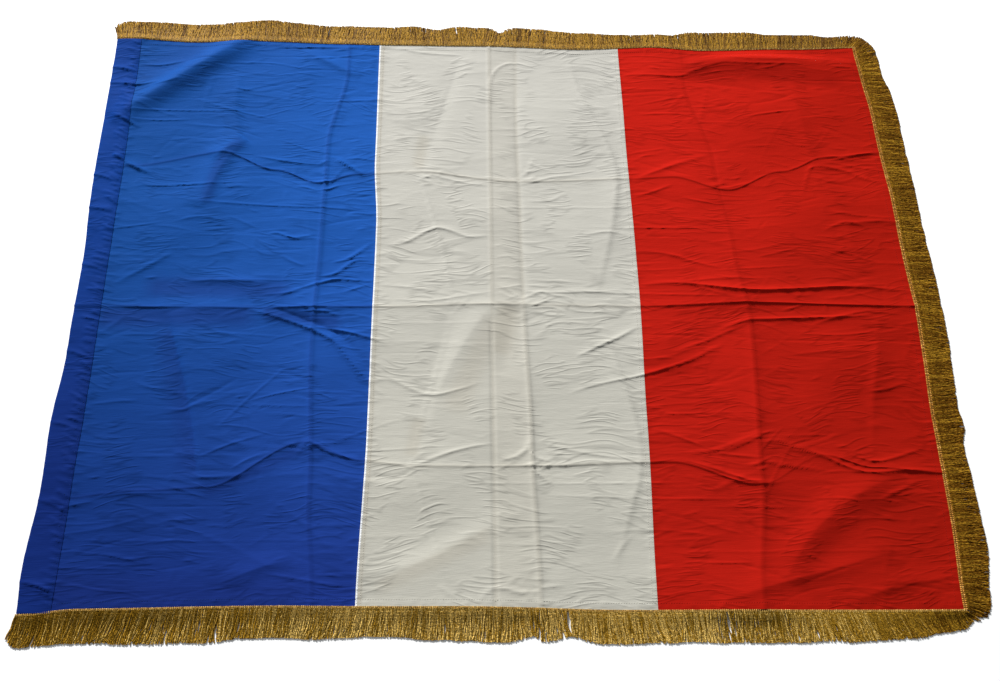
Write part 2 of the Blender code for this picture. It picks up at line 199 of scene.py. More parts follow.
FOLDS = (
    Fold(BLUE_FOLD_X, varying(
        (-580, 0.5), (-300, 1.1), (-100, 0.9), (100, 1.2), (260, 1.2), (450, 0.8), (600, 0.3),
    ), 0.003, 0.006, True),
    Fold(BLUE_FOLD_X, varying((-580, 0.8), (-200, 1.5), (300, 0.8), (600, 0.4)), 0.05, 0.035, True),
    Fold(MIDDLE_FOLD_X, varying(
        (-580, -2.0), (-100, -2.0), (0, 1.0), (250, 1.3), (420, 1.5), (500, 1.2), (600, 1.0),
    ), 0.003, 0.003, True),
    Fold(STRIP_FOLD_X, varying(
        (-20, 0.0), (0, -2.6), (220, -2.6), (260, -1.4), (300, -2.4), (450, -1.8), (600, -1.0),
    ), 0.018, 0.012, True),
    Fold(STRIP_FOLD_X, varying(
        (-580, 0.8), (-400, 1.3), (-300, 1.9), (-60, 1.6), (-10, 0.0),
    ), 0.007, 0.006, True),
    Fold(STRIP_FOLD_X, varying((-580, 2.2), (-300, 3.0), (-100, 1.5), (100, 0.0)), 0.05, 0.03, True),
    Fold(RED_FOLD_X, varying(
        (-580, 0.0), (-280, 0.2), (-20, 0.3), (100, 0.2), (300, -0.9), (450, -0.9), (550, 0.0),
    ), 0.012, 0.007, True),
    Fold(RED_FOLD_X, varying(
        (-580, 2.8), (-280, 3.8), (-100, 3.0), (50, 1.6), (300, 0.0),
    ), 0.08, 0.055, True),
    Fold(UPPER_FOLD_Y, varying(
        (-800, 0.3), (-620, 0.7), (-500, 1.4), (-400, 1.4), (-240, 0.8), (-100, 1.2), (50, 1.2), (200, 1.2),
        (280, 0.8), (360, 0.8), (440, 1.0), (600, 1.2), (700, 1.2), (820, 1.0),
    ), 0.005, 0.012, False),
    Fold(WAIST_FOLD_Y, varying(
        (-800, 1.2), (-740, 0.5), (-660, 1.5), (-580, 0.5), (-500, 1.0), (-440, 0.2), (-370, 1.3),
        (-290, 0.3), (-240, 0.7), (-100, 0.5), (0, 0.7), (60, 0.5), (160, 0.5), (280, 0.8), (500, 1.2),
        (820, 1.1),
    ), 0.004, 0.012, False),
    Fold(WAIST_FOLD_Y, varying(
        (-800, 0.4), (-700, 0.7), (-600, 0.7), (-450, 0.6), (-360, 0.9), (-250, 1.0), (-100, 1.4), (0, 2.4),
        (50, 1.2), (200, 0.6), (500, 1.1), (820, 1.1),
    ), 0.026, 0.07, False),
    Fold(LOWER_FOLD_Y, varying(
        (-800, 0.3), (-620, 0.5), (-500, 0.5), (-360, 0.5), (-240, 0.7), (-120, 0.9), (0, 0.9), (80, 1.8),
        (240, 1.0), (350, 1.2), (460, 1.6), (490, 0.3), (580, 0.3), (640, 1.6), (700, 1.6), (820, 1.2),
    ), 0.005, 0.012, False),
    Fold(LOWER_FOLD_Y, varying(
        (-700, 0.0), (-600, 0.6), (-500, 0.9), (-360, 1.0), (-260, 0.4), (-200, 0.0),
    ), 0.03, 0.05, False),
)


@dataclass(frozen=True)
class Wrinkle:
    """A wrinkle along a run of points.

    Attributes:
        run: (x, y) points from one end to the other.
        rise: Its crest's height in millimetres, below zero in a trough.
        left: How far it reaches to the left of the run, in millimetres.
        right: How far it reaches to the right of the run, in millimetres.
        crisp: 1 for a sharp crest and 0 for a round one.
    """

    run: Pairs
    rise: float
    left: float
    right: float
    crisp: float = 0.8

    def height(self, x: Array, y: Array) -> Array:
        """How much the wrinkle raises the cloth.

        Args:
            x: Places across the flag.
            y: Places up the flag.

        Returns:
            The rise in metres at each point.
        """
        height = np.zeros_like(x)
        points = np.array(smoothed(self.run))
        margin = 4 * max(self.left, self.right) * MM
        low = points.min(axis=0) - margin
        high = points.max(axis=0) + margin
        near = (x > low[0]) & (x < high[0]) & (y > low[1]) & (y < high[1])
        if not near.any():
            return height
        away, place, length = nearest_on(points, x[near], y[near])
        ends = np.sin(math.pi * np.clip(place / length, 0, 1)) ** 0.6
        share = crest(away, self.left * MM, self.right * MM, self.crisp)
        height[near] = self.rise * MM * ends * share
        return height


def smoothed(run: Pairs) -> list[tuple[float, float]]:
    """Rounds the corners of a run by cutting them, twice.

    Args:
        run: The run's points.

    Returns:
        The points of the rounder run.
    """
    points = list(run)
    for _ in range(2):
        cut = [points[0]]
        for (x0, y0), (x1, y1) in zip(points, points[1:]):
            cut.append((0.75 * x0 + 0.25 * x1, 0.75 * y0 + 0.25 * y1))
            cut.append((0.25 * x0 + 0.75 * x1, 0.25 * y0 + 0.75 * y1))
        points = cut + [points[-1]]
    return points


def nearest_on(points: Array, x: Array, y: Array) -> tuple[Array, Array, float]:
    """Finds the nearest place on a run of straight stretches.

    Args:
        points: The run's points, one row each.
        x: Places across the flag.
        y: Places up the flag.

    Returns:
        The signed distance (above zero on the left), the place along the run, and the run's length.
    """
    nearest = np.full(x.shape, np.inf)
    signed = np.zeros(x.shape)
    place = np.zeros(x.shape)
    length = 0.0
    for (x0, y0), (x1, y1) in zip(points, points[1:]):
        run_x = x1 - x0
        run_y = y1 - y0
        stretch = math.hypot(run_x, run_y)
        share = np.clip(((x - x0) * run_x + (y - y0) * run_y) / stretch**2, 0.0, 1.0)
        off_x = x - x0 - share * run_x
        off_y = y - y0 - share * run_y
        away = np.hypot(off_x, off_y)
        closer = away < nearest
        side = np.where(run_x * off_y - run_y * off_x >= 0, 1.0, -1.0)
        nearest = np.where(closer, away, nearest)
        signed = np.where(closer, away * side, signed)
        place = np.where(closer, length + share * stretch, place)
        length += stretch
    return signed, place, length


# Each row: the run, then the rise, the reach to its left and to its right, and how crisp it is.
# A run from the hoist to the fly has its left side above it.
BLUE_WRINKLES = from_rows(
    Wrinkle,
    (((-785, 395), (-705, 466), (-615, 537), (-560, 582), (-510, 615)), 4.6, 24, 32, 0.1),
    (((-790, 390), (-705, 466), (-615, 537), (-560, 582), (-500, 620)), 3.2, 60, 33, 0.1),
    (((-540, 482), (-520, 474), (-500, 478)), 1.2, 6, 3),
    (((-535, 520), (-537, 440), (-520, 345)), 1.4, 16, 40, 0.5),
    (((-745, 540), (-700, 535), (-650, 546)), 1.5, 8, 3),
    (((-710, 482), (-680, 487), (-655, 498)), 1.2, 5.5, 3),
    (((-606, -40), (-568, -150), (-541, -245), (-511, -380)), 3.6, 90, 17, 0.0),
    (((-622, -40), (-585, -150), (-558, -245), (-528, -380)), -1.3, 5, 18, 0.9),
    (((-640, -36), (-560, -34), (-480, -36)), 1.4, 40, 30, 0.2),
    (((-440, -34), (-370, -34), (-290, -36)), 2.0, 40, 30, 0.2),
    (((-600, 24), (-520, 27), (-430, 20)), 2.0, 12, 9, 0.5),
    (((-398, 238), (-373, 236), (-351, 227)), 1.4, 4, 3),
    (((-344, 229), (-329, 231), (-313, 240)), 1.4, 4, 3),
    (((-318, 302), (-284, 282), (-258, 264)), 1.9, 4, 4),
    (((-352, 289), (-345, 296), (-336, 298)), 1.3, 3, 3),
    (((-284, 177), (-267, 178), (-236, 172)), 1.0, 3.5, 3),
    (((-445, 127), (-428, 133), (-407, 124), (-391, 119), (-373, 123), (-350, 128)), 1.7, 4, 3),
    (((-312, 67), (-287, 72), (-264, 89), (-236, 113)), 2.0, 4, 4),
    (((-338, 34), (-309, 40), (-296, 49), (-276, 69), (-262, 73), (-236, 70)), 1.9, 4, 4),
    (((-368, 7), (-344, 17), (-320, 25), (-304, 30), (-278, 28), (-236, 25)), 1.7, 4, 3),
    (((-289, 1), (-262, 11), (-236, 21)), 1.2, 3.5, 3),
    (((-415, 83), (-396, 69), (-368, 58)), 1.3, 4, 4),
    (((-445, -5), (-396, -2), (-364, 9)), 1.3, 4, 4),
    (((-590, 30), (-520, 27), (-360, 26)), 0.8, 3.5, 3),
    (((-582, 185), (-568, 235), (-550, 290), (-505, 352)), 3.0, 50, 18, 0.4),
    (((-572, 300), (-545, 326), (-505, 352)), 2.4, 26, 14, 0.3),
    (((-470, -35), (-400, -55), (-350, -75), (-300, -100), (-285, -125), (-230, -190),
      (-205, -210)), 3.0, 7, 6),
    (((-440, -28), (-393, -43), (-343, -63), (-291, -87), (-268, -114), (-218, -178)), -2.0, 6, 6, 0.6),
    (((-345, -70), (-260, -86), (-200, -108)), 2.2, 6.5, 4),
    (((-480, 310), (-400, 294), (-340, 290)), 1.4, 6, 4),
    (((-340, 318), (-300, 292), (-260, 262)), 1.4, 5.5, 4.5),
    (((-300, 305), (-265, 306), (-240, 300)), 1.2, 5.5, 4),
    (((-560, -355), (-530, -367), (-440, -362)), 1.4, 5.5, 4),
    (((-345, -290), (-300, -320), (-240, -335)), 1.9, 6, 4.5),
    (((-690, -400), (-640, -392), (-560, -394)), 1.0, 6, 4),
    (((-400, 575), (-345, 548), (-280, 510)), 1.6, 16, 10, 0.4),
    (((-630, 155), (-580, 170), (-520, 155)), 1.0, 6, 4.5),
    (((-740, 290), (-695, 270)), 1.4, 6, 3),
    (((-720, 245), (-680, 238), (-640, 235)), 1.0, 5.5, 3),
    (((-665, -180), (-640, -195), (-580, -200)), 1.0, 5.5, 3),
    (((-740, -228), (-700, -222), (-650, -220)), 0.9, 4.5, 3),
    (((-600, -235), (-575, -240), (-520, -220)), 1.0, 5.5, 3),
    (((-700, -205), (-500, -206), (-250, -203)), 0.4, 3, 3),
    (((-740, -325), (-600, -326), (-380, -324)), 0.4, 3, 3),
    (((-720, -475), (-520, -478), (-300, -476)), 0.5, 3.5, 3),
    (((-560, -485), (-400, -484), (-250, -486)), 0.3, 3, 2.5),
    (((-470, -550), (-400, -520), (-350, -510)), 2.0, 24, 16, 0.3),
    (((-470, -350), (-440, -330), (-400, -318)), 1.2, 4, 7),
)
WHITE_WRINKLES = from_rows(
    Wrinkle,
    (((-65, 580), (-100, 446), (-128, 362), (-152, 270)), -2.0, 24, 26, 0.4),
    (((-80, 540), (-108, 436), (-134, 340), (-150, 280)), 0.9, 3, 4, 0.7),
    (((-148, 264), (-125, 185), (-98, 92), (-77, -20)), 1.5, 9, 3.5, 0.8),
    (((-76, -20), (-98, -115), (-132, -231), (-152, -345)), -1.2, 24, 26, 0.4),
    (((-78, -35), (-100, -135), (-130, -235), (-150, -340)), 1.0, 3, 5, 0.8),
    (((-148, -348), (-127, -425), (-96, -515)), 1.5, 9, 3.5, 0.8),
    (((0, -20), (-40, -75), (-80, -145), (-108, -210), (-118, -280)), 3.8, 60, 30, 0.3),
    (((165, 570), (190, 462), (214, 415), (250, 320), (258, 262), (241, 154), (222, 77),
      (198, -10)), 2.4, 8, 34, 0.7),
    (((198, -20), (225, -120), (262, -260), (268, -345), (235, -440), (205, -540)), 1.9, 8, 30, 0.7),
    (((-210, 107), (-180, 108), (-150, 125), (-115, 148), (-80, 138), (-50, 123), (-10, 128)), 2.4, 8, 4.5),
    (((-220, -177), (-190, -177), (-150, -200), (-115, -212), (-70, -200), (-30, -185)), 1.9, 6, 4.5),
    (((155, -133), (200, -110), (240, -92), (275, -70)), 2.7, 8, 4.5),
    (((135, -208), (180, -190), (280, -170), (350, -147), (380, -136), (405, -122),
      (440, -103)), 2.0, 5.5, 4),
    (((340, -125), (380, -108), (405, -100), (435, -85), (490, -62)), 1.5, 4, 4),
    (((71, 302), (91, 292), (122, 278)), 1.3, 3, 4.5),
    (((55, 262), (77, 279), (93, 286)), 1.1, 3.5, 3),
    (((58, 257), (80, 262), (100, 260)), 0.8, 3.5, 3),
    (((46, 247), (72, 249), (113, 263), (136, 268), (185, 270)), 1.4, 4.5, 3),
    (((72, 207), (100, 208), (119, 210), (132, 217), (152, 233)), 1.3, 4, 3),
    (((30, 266), (46, 256), (56, 240)), 1.1, 3.5, 4),
    (((54, -12), (78, -2), (92, 6), (113, -3), (142, -8)), 1.4, 4, 3),
    (((60, -30), (86, -23), (114, -9)), 1.6, 4.5, 3),
    (((63, -33), (102, -28), (124, -31), (148, -50)), 1.4, 4, 3),
    (((60, -36), (77, -41), (114, -45), (147, -51)), 1.1, 4, 3),
    (((66, -65), (78, -62), (92, -56)), 1.2, 3.5, 3),
    (((91, -83), (102, -67), (119, -61), (147, -60), (185, -64)), 1.4, 4, 3),
    (((33, 2), (46, -6), (54, -14)), 1.2, 3, 3),
    (((62, 30), (119, 27), (185, 23)), 0.8, 3.5, 3),
    (((1, 104), (20, 108), (34, 100)), 0.7, 3.5, 3),
    (((3, 79), (25, 83), (50, 81)), 0.8, 3.5, 3),
    (((3, 57), (25, 60), (50, 55)), 0.7, 3.5, 3),
    (((3, 34), (25, 36), (50, 31)), 0.7, 3.5, 3),
    (((3, 10), (25, 14), (50, 9)), 0.7, 3.5, 3),
    (((35, -30), (30, -100), (15, -170)), -2.2, 30, 24, 0.2),
    (((180, 130), (235, 140), (280, 125)), 1.4, 6, 4),
    (((-130, 270), (-50, 248), (-10, 245)), 1.5, 5.5, 4),
    (((-200, 590), (-150, 577), (-60, 573)), 1.4, 6, 4.5),
    (((-145, -345), (-100, -325), (-50, -310), (-5, -303)), 1.9, 6, 4.5),
    (((-228, -362), (-190, -366), (-150, -362)), -1.2, 4.5, 9, 0.4),
    (((60, -312), (72, -330), (98, -338)), 2.0, 4.5, 4.5),
    (((64, -352), (80, -362), (100, -380)), 2.0, 4.5, 4.5),
    (((10, -335), (40, -328), (60, -310), (65, -290)), 1.9, 6, 6),
    (((100, -345), (170, -338), (230, -338), (280, -340)), 1.2, 5.5, 4),
    (((80, -300), (130, -315), (200, -328), (280, -335)), 1.4, 5.5, 4),
    (((-4, 430), (-3, 505), (5, 530), (22, 548), (48, 556), (90, 545)), 1.7, 3, 4.5),
    (((-230, -545), (-150, -525), (-80, -495), (-20, -460), (60, -420)), 2.8, 24, 50, 0.2),
    (((-30, -583), (-5, -555), (60, -575)), 1.5, 6, 5),
    (((-100, -555), (-70, -578)), 1.2, 4.5, 4.5),
    (((200, -520), (220, -490), (240, -470)), 1.1, 5.5, 4.5),
    (((-225, -62), (-120, -64), (-10, -61)), 0.5, 3, 3),
    (((-225, -103), (-140, -101), (-60, -104)), 0.4, 3, 2.5),
    (((-180, -112), (-100, -113), (-20, -111)), 0.4, 3, 2.5),
    (((-225, -160), (-150, -161), (-80, -159)), 0.4, 3, 2.5),
    (((-200, -215), (-120, -226), (0, -215)), 0.5, 3.5, 2.5),
    (((-190, -14), (-120, -18), (-60, -6), (0, 4)), 1.2, 5.5, 3),
    (((-225, 18), (-150, 12), (-80, -6)), 1.2, 5.5, 3),
    (((55, 4), (110, 2), (200, 4), (285, -2)), 1.4, 5.5, 3),
)
RED_WRINKLES = from_rows(
    Wrinkle,
    (((300, 265), (370, 295), (450, 322)), 1.5, 8, 6, 0.6),
    (((290, 220), (330, 232), (370, 250)), 1.2, 6, 4.5),
    (((700, 310), (760, 325), (800, 332)), 1.4, 5.5, 4),
    (((650, 285), (675, 300), (740, 285), (760, 270), (800, 258)), 1.9, 6.5, 4.5),
    (((290, 20), (360, 26), (430, 16), (500, 6), (600, 12), (700, 20), (815, 10)), 3.1, 9, 6),
    (((425, -83), (442, -72), (480, -57), (505, -53), (600, -51), (740, -45)), 2.5, 5.5, 7),
    (((290, 95), (350, 90), (400, 70), (450, 57)), 1.4, 6.5, 4.5),
    (((670, 145), (715, 167), (760, 150)), 1.4, 6.5, 4.5),
    (((700, -195), (715, -205), (780, -185)), 1.2, 5.5, 4),
    (((690, -330), (712, -200), (730, -130), (748, -40)), 1.8, 14, 30, 0.5),
    (((740, -360), (680, -385), (610, -425), (550, -475), (500, -550)), 4.4, 40, 34, 0.2),
    (((655, 580), (651, 423), (676, 300), (716, 170), (731, 60), (748, -30)), 1.2, 22, 26, 0.4),
    (((290, -275), (335, -290), (380, -310)), 1.5, 6, 4.5),
    (((350, -325), (405, -317), (440, -303), (490, -283)), 1.7, 5.5, 4),
    (((405, -324), (440, -310), (487, -290)), 1.5, 4, 4),
    (((405, -323), (450, -328), (487, -333)), 1.3, 4, 3),
    (((340, -335), (400, -352), (475, -382), (520, -377)), 1.7, 5.5, 4),
    (((485, -304), (515, -297), (540, -309), (600, -327), (640, -350), (680, -362), (760, -352),
      (810, -360)), 2.2, 6.5, 5),
    (((490, -338), (515, -345), (600, -355)), 1.3, 5.5, 4),
    (((520, -280), (490, -285), (470, -300)), 1.0, 3.5, 4),
    (((650, -325), (690, -340), (720, -335), (790, -312)), 1.7, 6, 4.5),
    (((690, -410), (730, -392), (770, -375)), 1.4, 6.5, 5, 0.6),
    (((380, -590), (450, -565), (600, -530), (700, -500)), 2.0, 20, 16, 0.3),
    (((600, -590), (700, -560), (800, -545)), 1.6, 16, 12, 0.3),
    (((300, -500), (500, -502), (780, -499)), 0.4, 3, 3),
    (((280, 523), (330, 528), (410, 522), (430, 535), (460, 548), (520, 565)), 1.5, 6.5, 4.5),
    (((410, 554), (500, 572), (620, 575), (795, 564)), 2.8, 14, 28, 0.1),
    (((430, 560), (540, 568), (660, 566), (810, 548)), 2.6, 24, 60, 0.0),
)
SLEEVE_WRINKLES = from_rows(
    Wrinkle,
    (((-806, 529), (-777, 527), (-756, 517)), 2.2, 9, 4),
    (((-806, 490), (-770, 487), (-737, 483), (-705, 492)), 2.4, 9, 4),
    (((-788, 410), (-760, 397), (-727, 377)), 2.2, 9, 4),
    (((-772, 310), (-753, 300), (-720, 280), (-690, 266)), 2.0, 10, 4),
    (((-806, 262), (-780, 258), (-752, 244)), 1.8, 9, 4),
    (((-806, 186), (-780, 184), (-755, 176)), 1.8, 9, 4),
    (((-800, 60), (-775, 56), (-752, 44)), 1.4, 9, 4),
    (((-800, -120), (-775, -126), (-752, -140)), 1.4, 9, 4),
    (((-800, -262), (-775, -266), (-752, -276)), 1.6, 9, 4),
    (((-800, -405), (-775, -410), (-752, -424)), 1.4, 9, 4),
    (((-806, -545), (-780, -550), (-752, -560)), 2.0, 10, 4),
)


@dataclass(frozen=True)
class ShadeAndSoil:
    """A band along a fold where the cloth turns darker: painted shade, partly soiling.

    Attributes:
        run: (x, y) points from one end to the other.
        left: How far it reaches to the left of the run, in millimetres.
        right: How far it reaches to the right of the run, in millimetres.
        share: How dark its middle is, from 0 to 1.
    """

    run: Pairs
    left: float
    right: float
    share: float

    def cover(self, x: Array, y: Array) -> Array:
        """How far the band of painted shade and soiling covers the cloth.

        Args:
            x: Places across the flag.
            y: Places up the flag.

        Returns:
            A share from 0 to 1 at each point.
        """
        away, place, length = nearest_on(np.array(smoothed(self.run)), x, y)
        part = np.abs(away) / np.where(away > 0, self.left, self.right) / MM
        ends = np.clip(3 * np.sin(math.pi * np.clip(place / length, 0, 1)), 0, 1)
        return self.share * ends * np.exp(-part**3)


# Each row: the run, then the reach to its left and to its right, and how dark its middle is.
# The bands are painted shade beside the folds, partly soiling.
SHADE_AND_SOIL = from_rows(
    ShadeAndSoil,
    (((-770, -46), (-640, -46), (-520, -44), (-440, -42)), 14, 30, 0.48),
    (((-450, -42), (-390, -50), (-330, -58), (-285, -68)), 16, 14, 0.45),
    (((-680, 12), (-560, 10), (-380, 4)), 22, 22, 0.42),
    (((-775, 495), (-700, 535), (-610, 585)), 34, 26, 0.12),
    (((-785, -568), (-640, -580), (-480, -590), (-310, -594)), 48, 30, 0.5),
    (((-745, 425), (-700, 455), (-640, 492), (-570, 545)), 12, 16, 0.08),
    (((-508, 352), (-532, 324), (-554, 290), (-566, 240), (-574, 190)), 12, 14, 0.32),
    (((-520, -394), (-440, -356), (-340, -306)), 6, 14, 0.3),
    (((-617, -55), (-577, -169), (-550, -261), (-529, -372)), 2, 34, 0.3),
    (((400, 534), (520, 538), (640, 530), (780, 510)), 22, 20, 0.6),
    (((736, -385), (640, -432), (575, -478), (515, -560)), 20, 22, 0.3),
    (((28, -20), (22, -70), (5, -130)), 24, 22, 0.38),
    (((10, -40), (-35, -140), (-80, -250)), 26, 24, 0.35),
    (((-140, 370), (-152, 280)), 12, 14, 0.4),
    (((-138, -250), (-152, -330)), 12, 14, 0.4),
    (((-215, -560), (-150, -532), (-80, -500), (0, -458)), 10, 18, 0.4),
)


@dataclass(frozen=True)
class Crossing:
    """The many short creases where two storage folds cross.

    Attributes:
        x: The crossing's place across the flag.
        y: Its place up the flag.
        reach: How far the creases come from it.
        count: How many there are.
        squash: How much nearer to it they lie up the flag than across it.
        tilt: How far they usually turn from the ribs, in radians.
        halves: Half the length of the shortest and of the longest one.
        bend: How far the middle of one may be off its line.
    """

    x: float
    y: float
    reach: float
    count: int
    squash: float = 0.6
    tilt: float = 0.65
    halves: tuple[float, float] = (0.008, 0.028)
    bend: float = 0.003

    def rows(self, draw: np.random.Generator) -> list[Wrinkle]:
        """Draws the creases.

        Args:
            draw: The random draws.

        Returns:
            The creases.
        """
        found = []
        for _ in range(self.count):
            away = self.reach * draw.random()
            bearing = draw.uniform(0, 2 * math.pi)
            x = self.x + away * math.cos(bearing)
            y = self.y + self.squash * away * math.sin(bearing)
            turn = draw.normal(0.0, self.tilt)
            half = draw.uniform(*self.halves)
            half_x = half * math.cos(turn)
            half_y = half * math.sin(turn)
            middle = (x, y + draw.uniform(-self.bend, self.bend))
            run = ((x - half_x, y - half_y), middle, (x + half_x, y + half_y))
            rise = draw.uniform(0.6, 1.3) * draw.choice((-0.4, 1.0))
            found.append(Wrinkle(run, float(rise), float(draw.uniform(3, 5)), 3.0, 0.9))
        return found


CROSSINGS = (
    Crossing(0.070, -0.010, 0.060, 19),
    Crossing(0.075, 0.264, 0.050, 16),
    Crossing(0.075, -0.345, 0.060, 27),
    Crossing(-0.340, -0.310, 0.040, 16),
    Crossing(-0.345, 0.262, 0.040, 16),
    Crossing(-0.335, -0.045, 0.040, 11),
    Crossing(-0.080, -0.020, 0.045, 14),
    Crossing(-0.145, 0.268, 0.040, 11),
    Crossing(-0.150, -0.345, 0.035, 11),
    Crossing(0.055, -0.570, 0.045, 22),
    Crossing(0.465, 0.255, 0.045, 7),
    Crossing(0.485, -0.340, 0.060, 9),
    Crossing(0.660, -0.340, 0.050, 6),
    Crossing(0.760, 0.290, 0.040, 6),
)


@dataclass(frozen=True)
class Puckers:
    """Small wrinkles that start at a seam or a hem, where the thread draws the cloth in.

    Attributes:
        line: The seam or the hem.
        upright: Whether it runs up the flag.
        start: Where the first pucker may be along the line.
        end: Where the last one may be.
        spacing: The mean room between them.
        length: How far the longest one runs, below zero to the hoist side or downwards.
        tilt: How far they turn from straight out, in radians.
        rise: The highest one's crest, in millimetres.
    """

    line: Line
    upright: bool
    start: float
    end: float
    spacing: float
    length: float
    tilt: float
    rise: float

    def rows(self, draw: np.random.Generator) -> list[Wrinkle]:
        """Draws the puckers.

        Args:
            draw: The random draws.

        Returns:
            The puckers.
        """
        found = []
        place = self.start
        while place < self.end:
            place += self.spacing * draw.uniform(0.4, 1.6)
            length = self.length * draw.uniform(0.35, 1.0)
            turn = self.tilt + draw.normal(0.0, 0.18)
            off = float(self.line.at(place))
            out = (off + length * math.cos(turn), place + length * math.sin(turn))
            begin = (off - 0.1 * length, place)
            if not self.upright:
                out = (place + length * math.sin(turn), off + length * math.cos(turn))
                begin = (place, off - 0.1 * length)
            rise = self.rise * draw.uniform(0.35, 1.0)
            found.append(Wrinkle((begin, out), float(rise), float(draw.uniform(3, 5.5)), 2.8))
        return found


PUCKERS = (
    Puckers(SLEEVE_X, True, -0.590, 0.590, 0.0090, -0.036, -0.45, 1.8),
    Puckers(SLEEVE_X, True, -0.590, 0.590, 0.0200, 0.030, -0.15, 0.9),
    Puckers(BLUE_WHITE_X, True, -0.590, 0.590, 0.0130, 0.030, 0.00, 0.7),
    Puckers(BLUE_WHITE_X, True, -0.590, 0.590, 0.0200, -0.034, 0.05, 0.7),
    Puckers(WHITE_RED_X, True, -0.590, 0.590, 0.0150, -0.028, 0.05, 0.7),
    Puckers(WHITE_RED_X, True, -0.590, 0.590, 0.0200, 0.030, 0.00, 0.7),
    Puckers(FLY_X, True, -0.590, 0.590, 0.0200, -0.040, 0.10, 0.7),
    Puckers(BOTTOM_Y, False, -0.740, 0.790, 0.0200, 0.026, 0.60, 0.7),
    Puckers(TOP_Y, False, -0.740, 0.790, 0.0240, -0.026, 0.60, 0.6),
)


@dataclass(frozen=True)
class FineWrinkles:
    """The many small wrinkles that lie mostly along the silk's ribs, drawn at random.

    Attributes:
        count: How many there are.
        shortest: The shortest one's length.
        longest: The longest one's length.
        rise: The highest one's crest, in millimetres.
        reach: The widest one's reach, in millimetres.
        tilt: How far most of them turn from the ribs, in radians.
        calm: How high they are in the white panel, as a share of the others.
        bend: How far the middle of one may be off its line, as a share of its length.
        strays: The share that lies at any angle.
        seed: The seed of the random draws.
    """

    count: int = 1150
    shortest: float = 0.020
    longest: float = 0.190
    rise: float = 1.15
    reach: float = 3.8
    calm: float = 0.30
    bend: float = 0.07
    tilt: float = 0.20
    strays: float = 0.20
    seed: int = 11

    def rows(self) -> list[Wrinkle]:
        """Draws the wrinkles.

        Returns:
            One straight or slightly bent wrinkle for each draw.
        """
        draw = np.random.default_rng(self.seed)
        found = []
        for _ in range(self.count):
            x, y = draw.uniform((-0.74, -0.59), (0.81, 0.59))
            length = self.shortest + (self.longest - self.shortest) * draw.random() ** 2.6
            turn = draw.uniform(-math.pi / 2, math.pi / 2) if draw.random() < self.strays else 0.0
            turn += draw.normal(0.0, self.tilt)
            bend = draw.uniform(-self.bend, self.bend) * length
            half_x = math.cos(turn) * length / 2
            half_y = math.sin(turn) * length / 2
            middle = (x - bend * math.sin(turn), y + bend * math.cos(turn))
            run = ((x - half_x, y - half_y), middle, (x + half_x, y + half_y))
            rise = self.rise * draw.choice((-0.6, 1.0)) * (0.2 + 0.8 * draw.random() ** 1.6)
            if BLUE_WHITE_X.at(y) < x < WHITE_RED_X.at(y):
                rise *= self.calm
            reach = self.reach * draw.uniform(0.60, 1.0)
            found.append(Wrinkle(run, float(rise), float(reach), float(reach * 0.75), 0.8))
        return found


PRESSED_LINES = FineWrinkles(
    count=130, shortest=0.090, longest=0.420, rise=1.3, reach=3.0, calm=0.6, bend=0.012, tilt=0.035,
    strays=0.0, seed=23,
)
SOFT_RIDGES = FineWrinkles(
    count=120, shortest=0.050, longest=0.260, rise=1.5, reach=10.0, calm=0.25, bend=0.06, tilt=0.30,
    strays=0.15, seed=37,
)


def past(distance: Array, ease: float) -> Array:
    """Goes from 0 to 1 as a distance goes through zero, over about four eases."""
    return 1 / (1 + np.exp(-distance / ease))


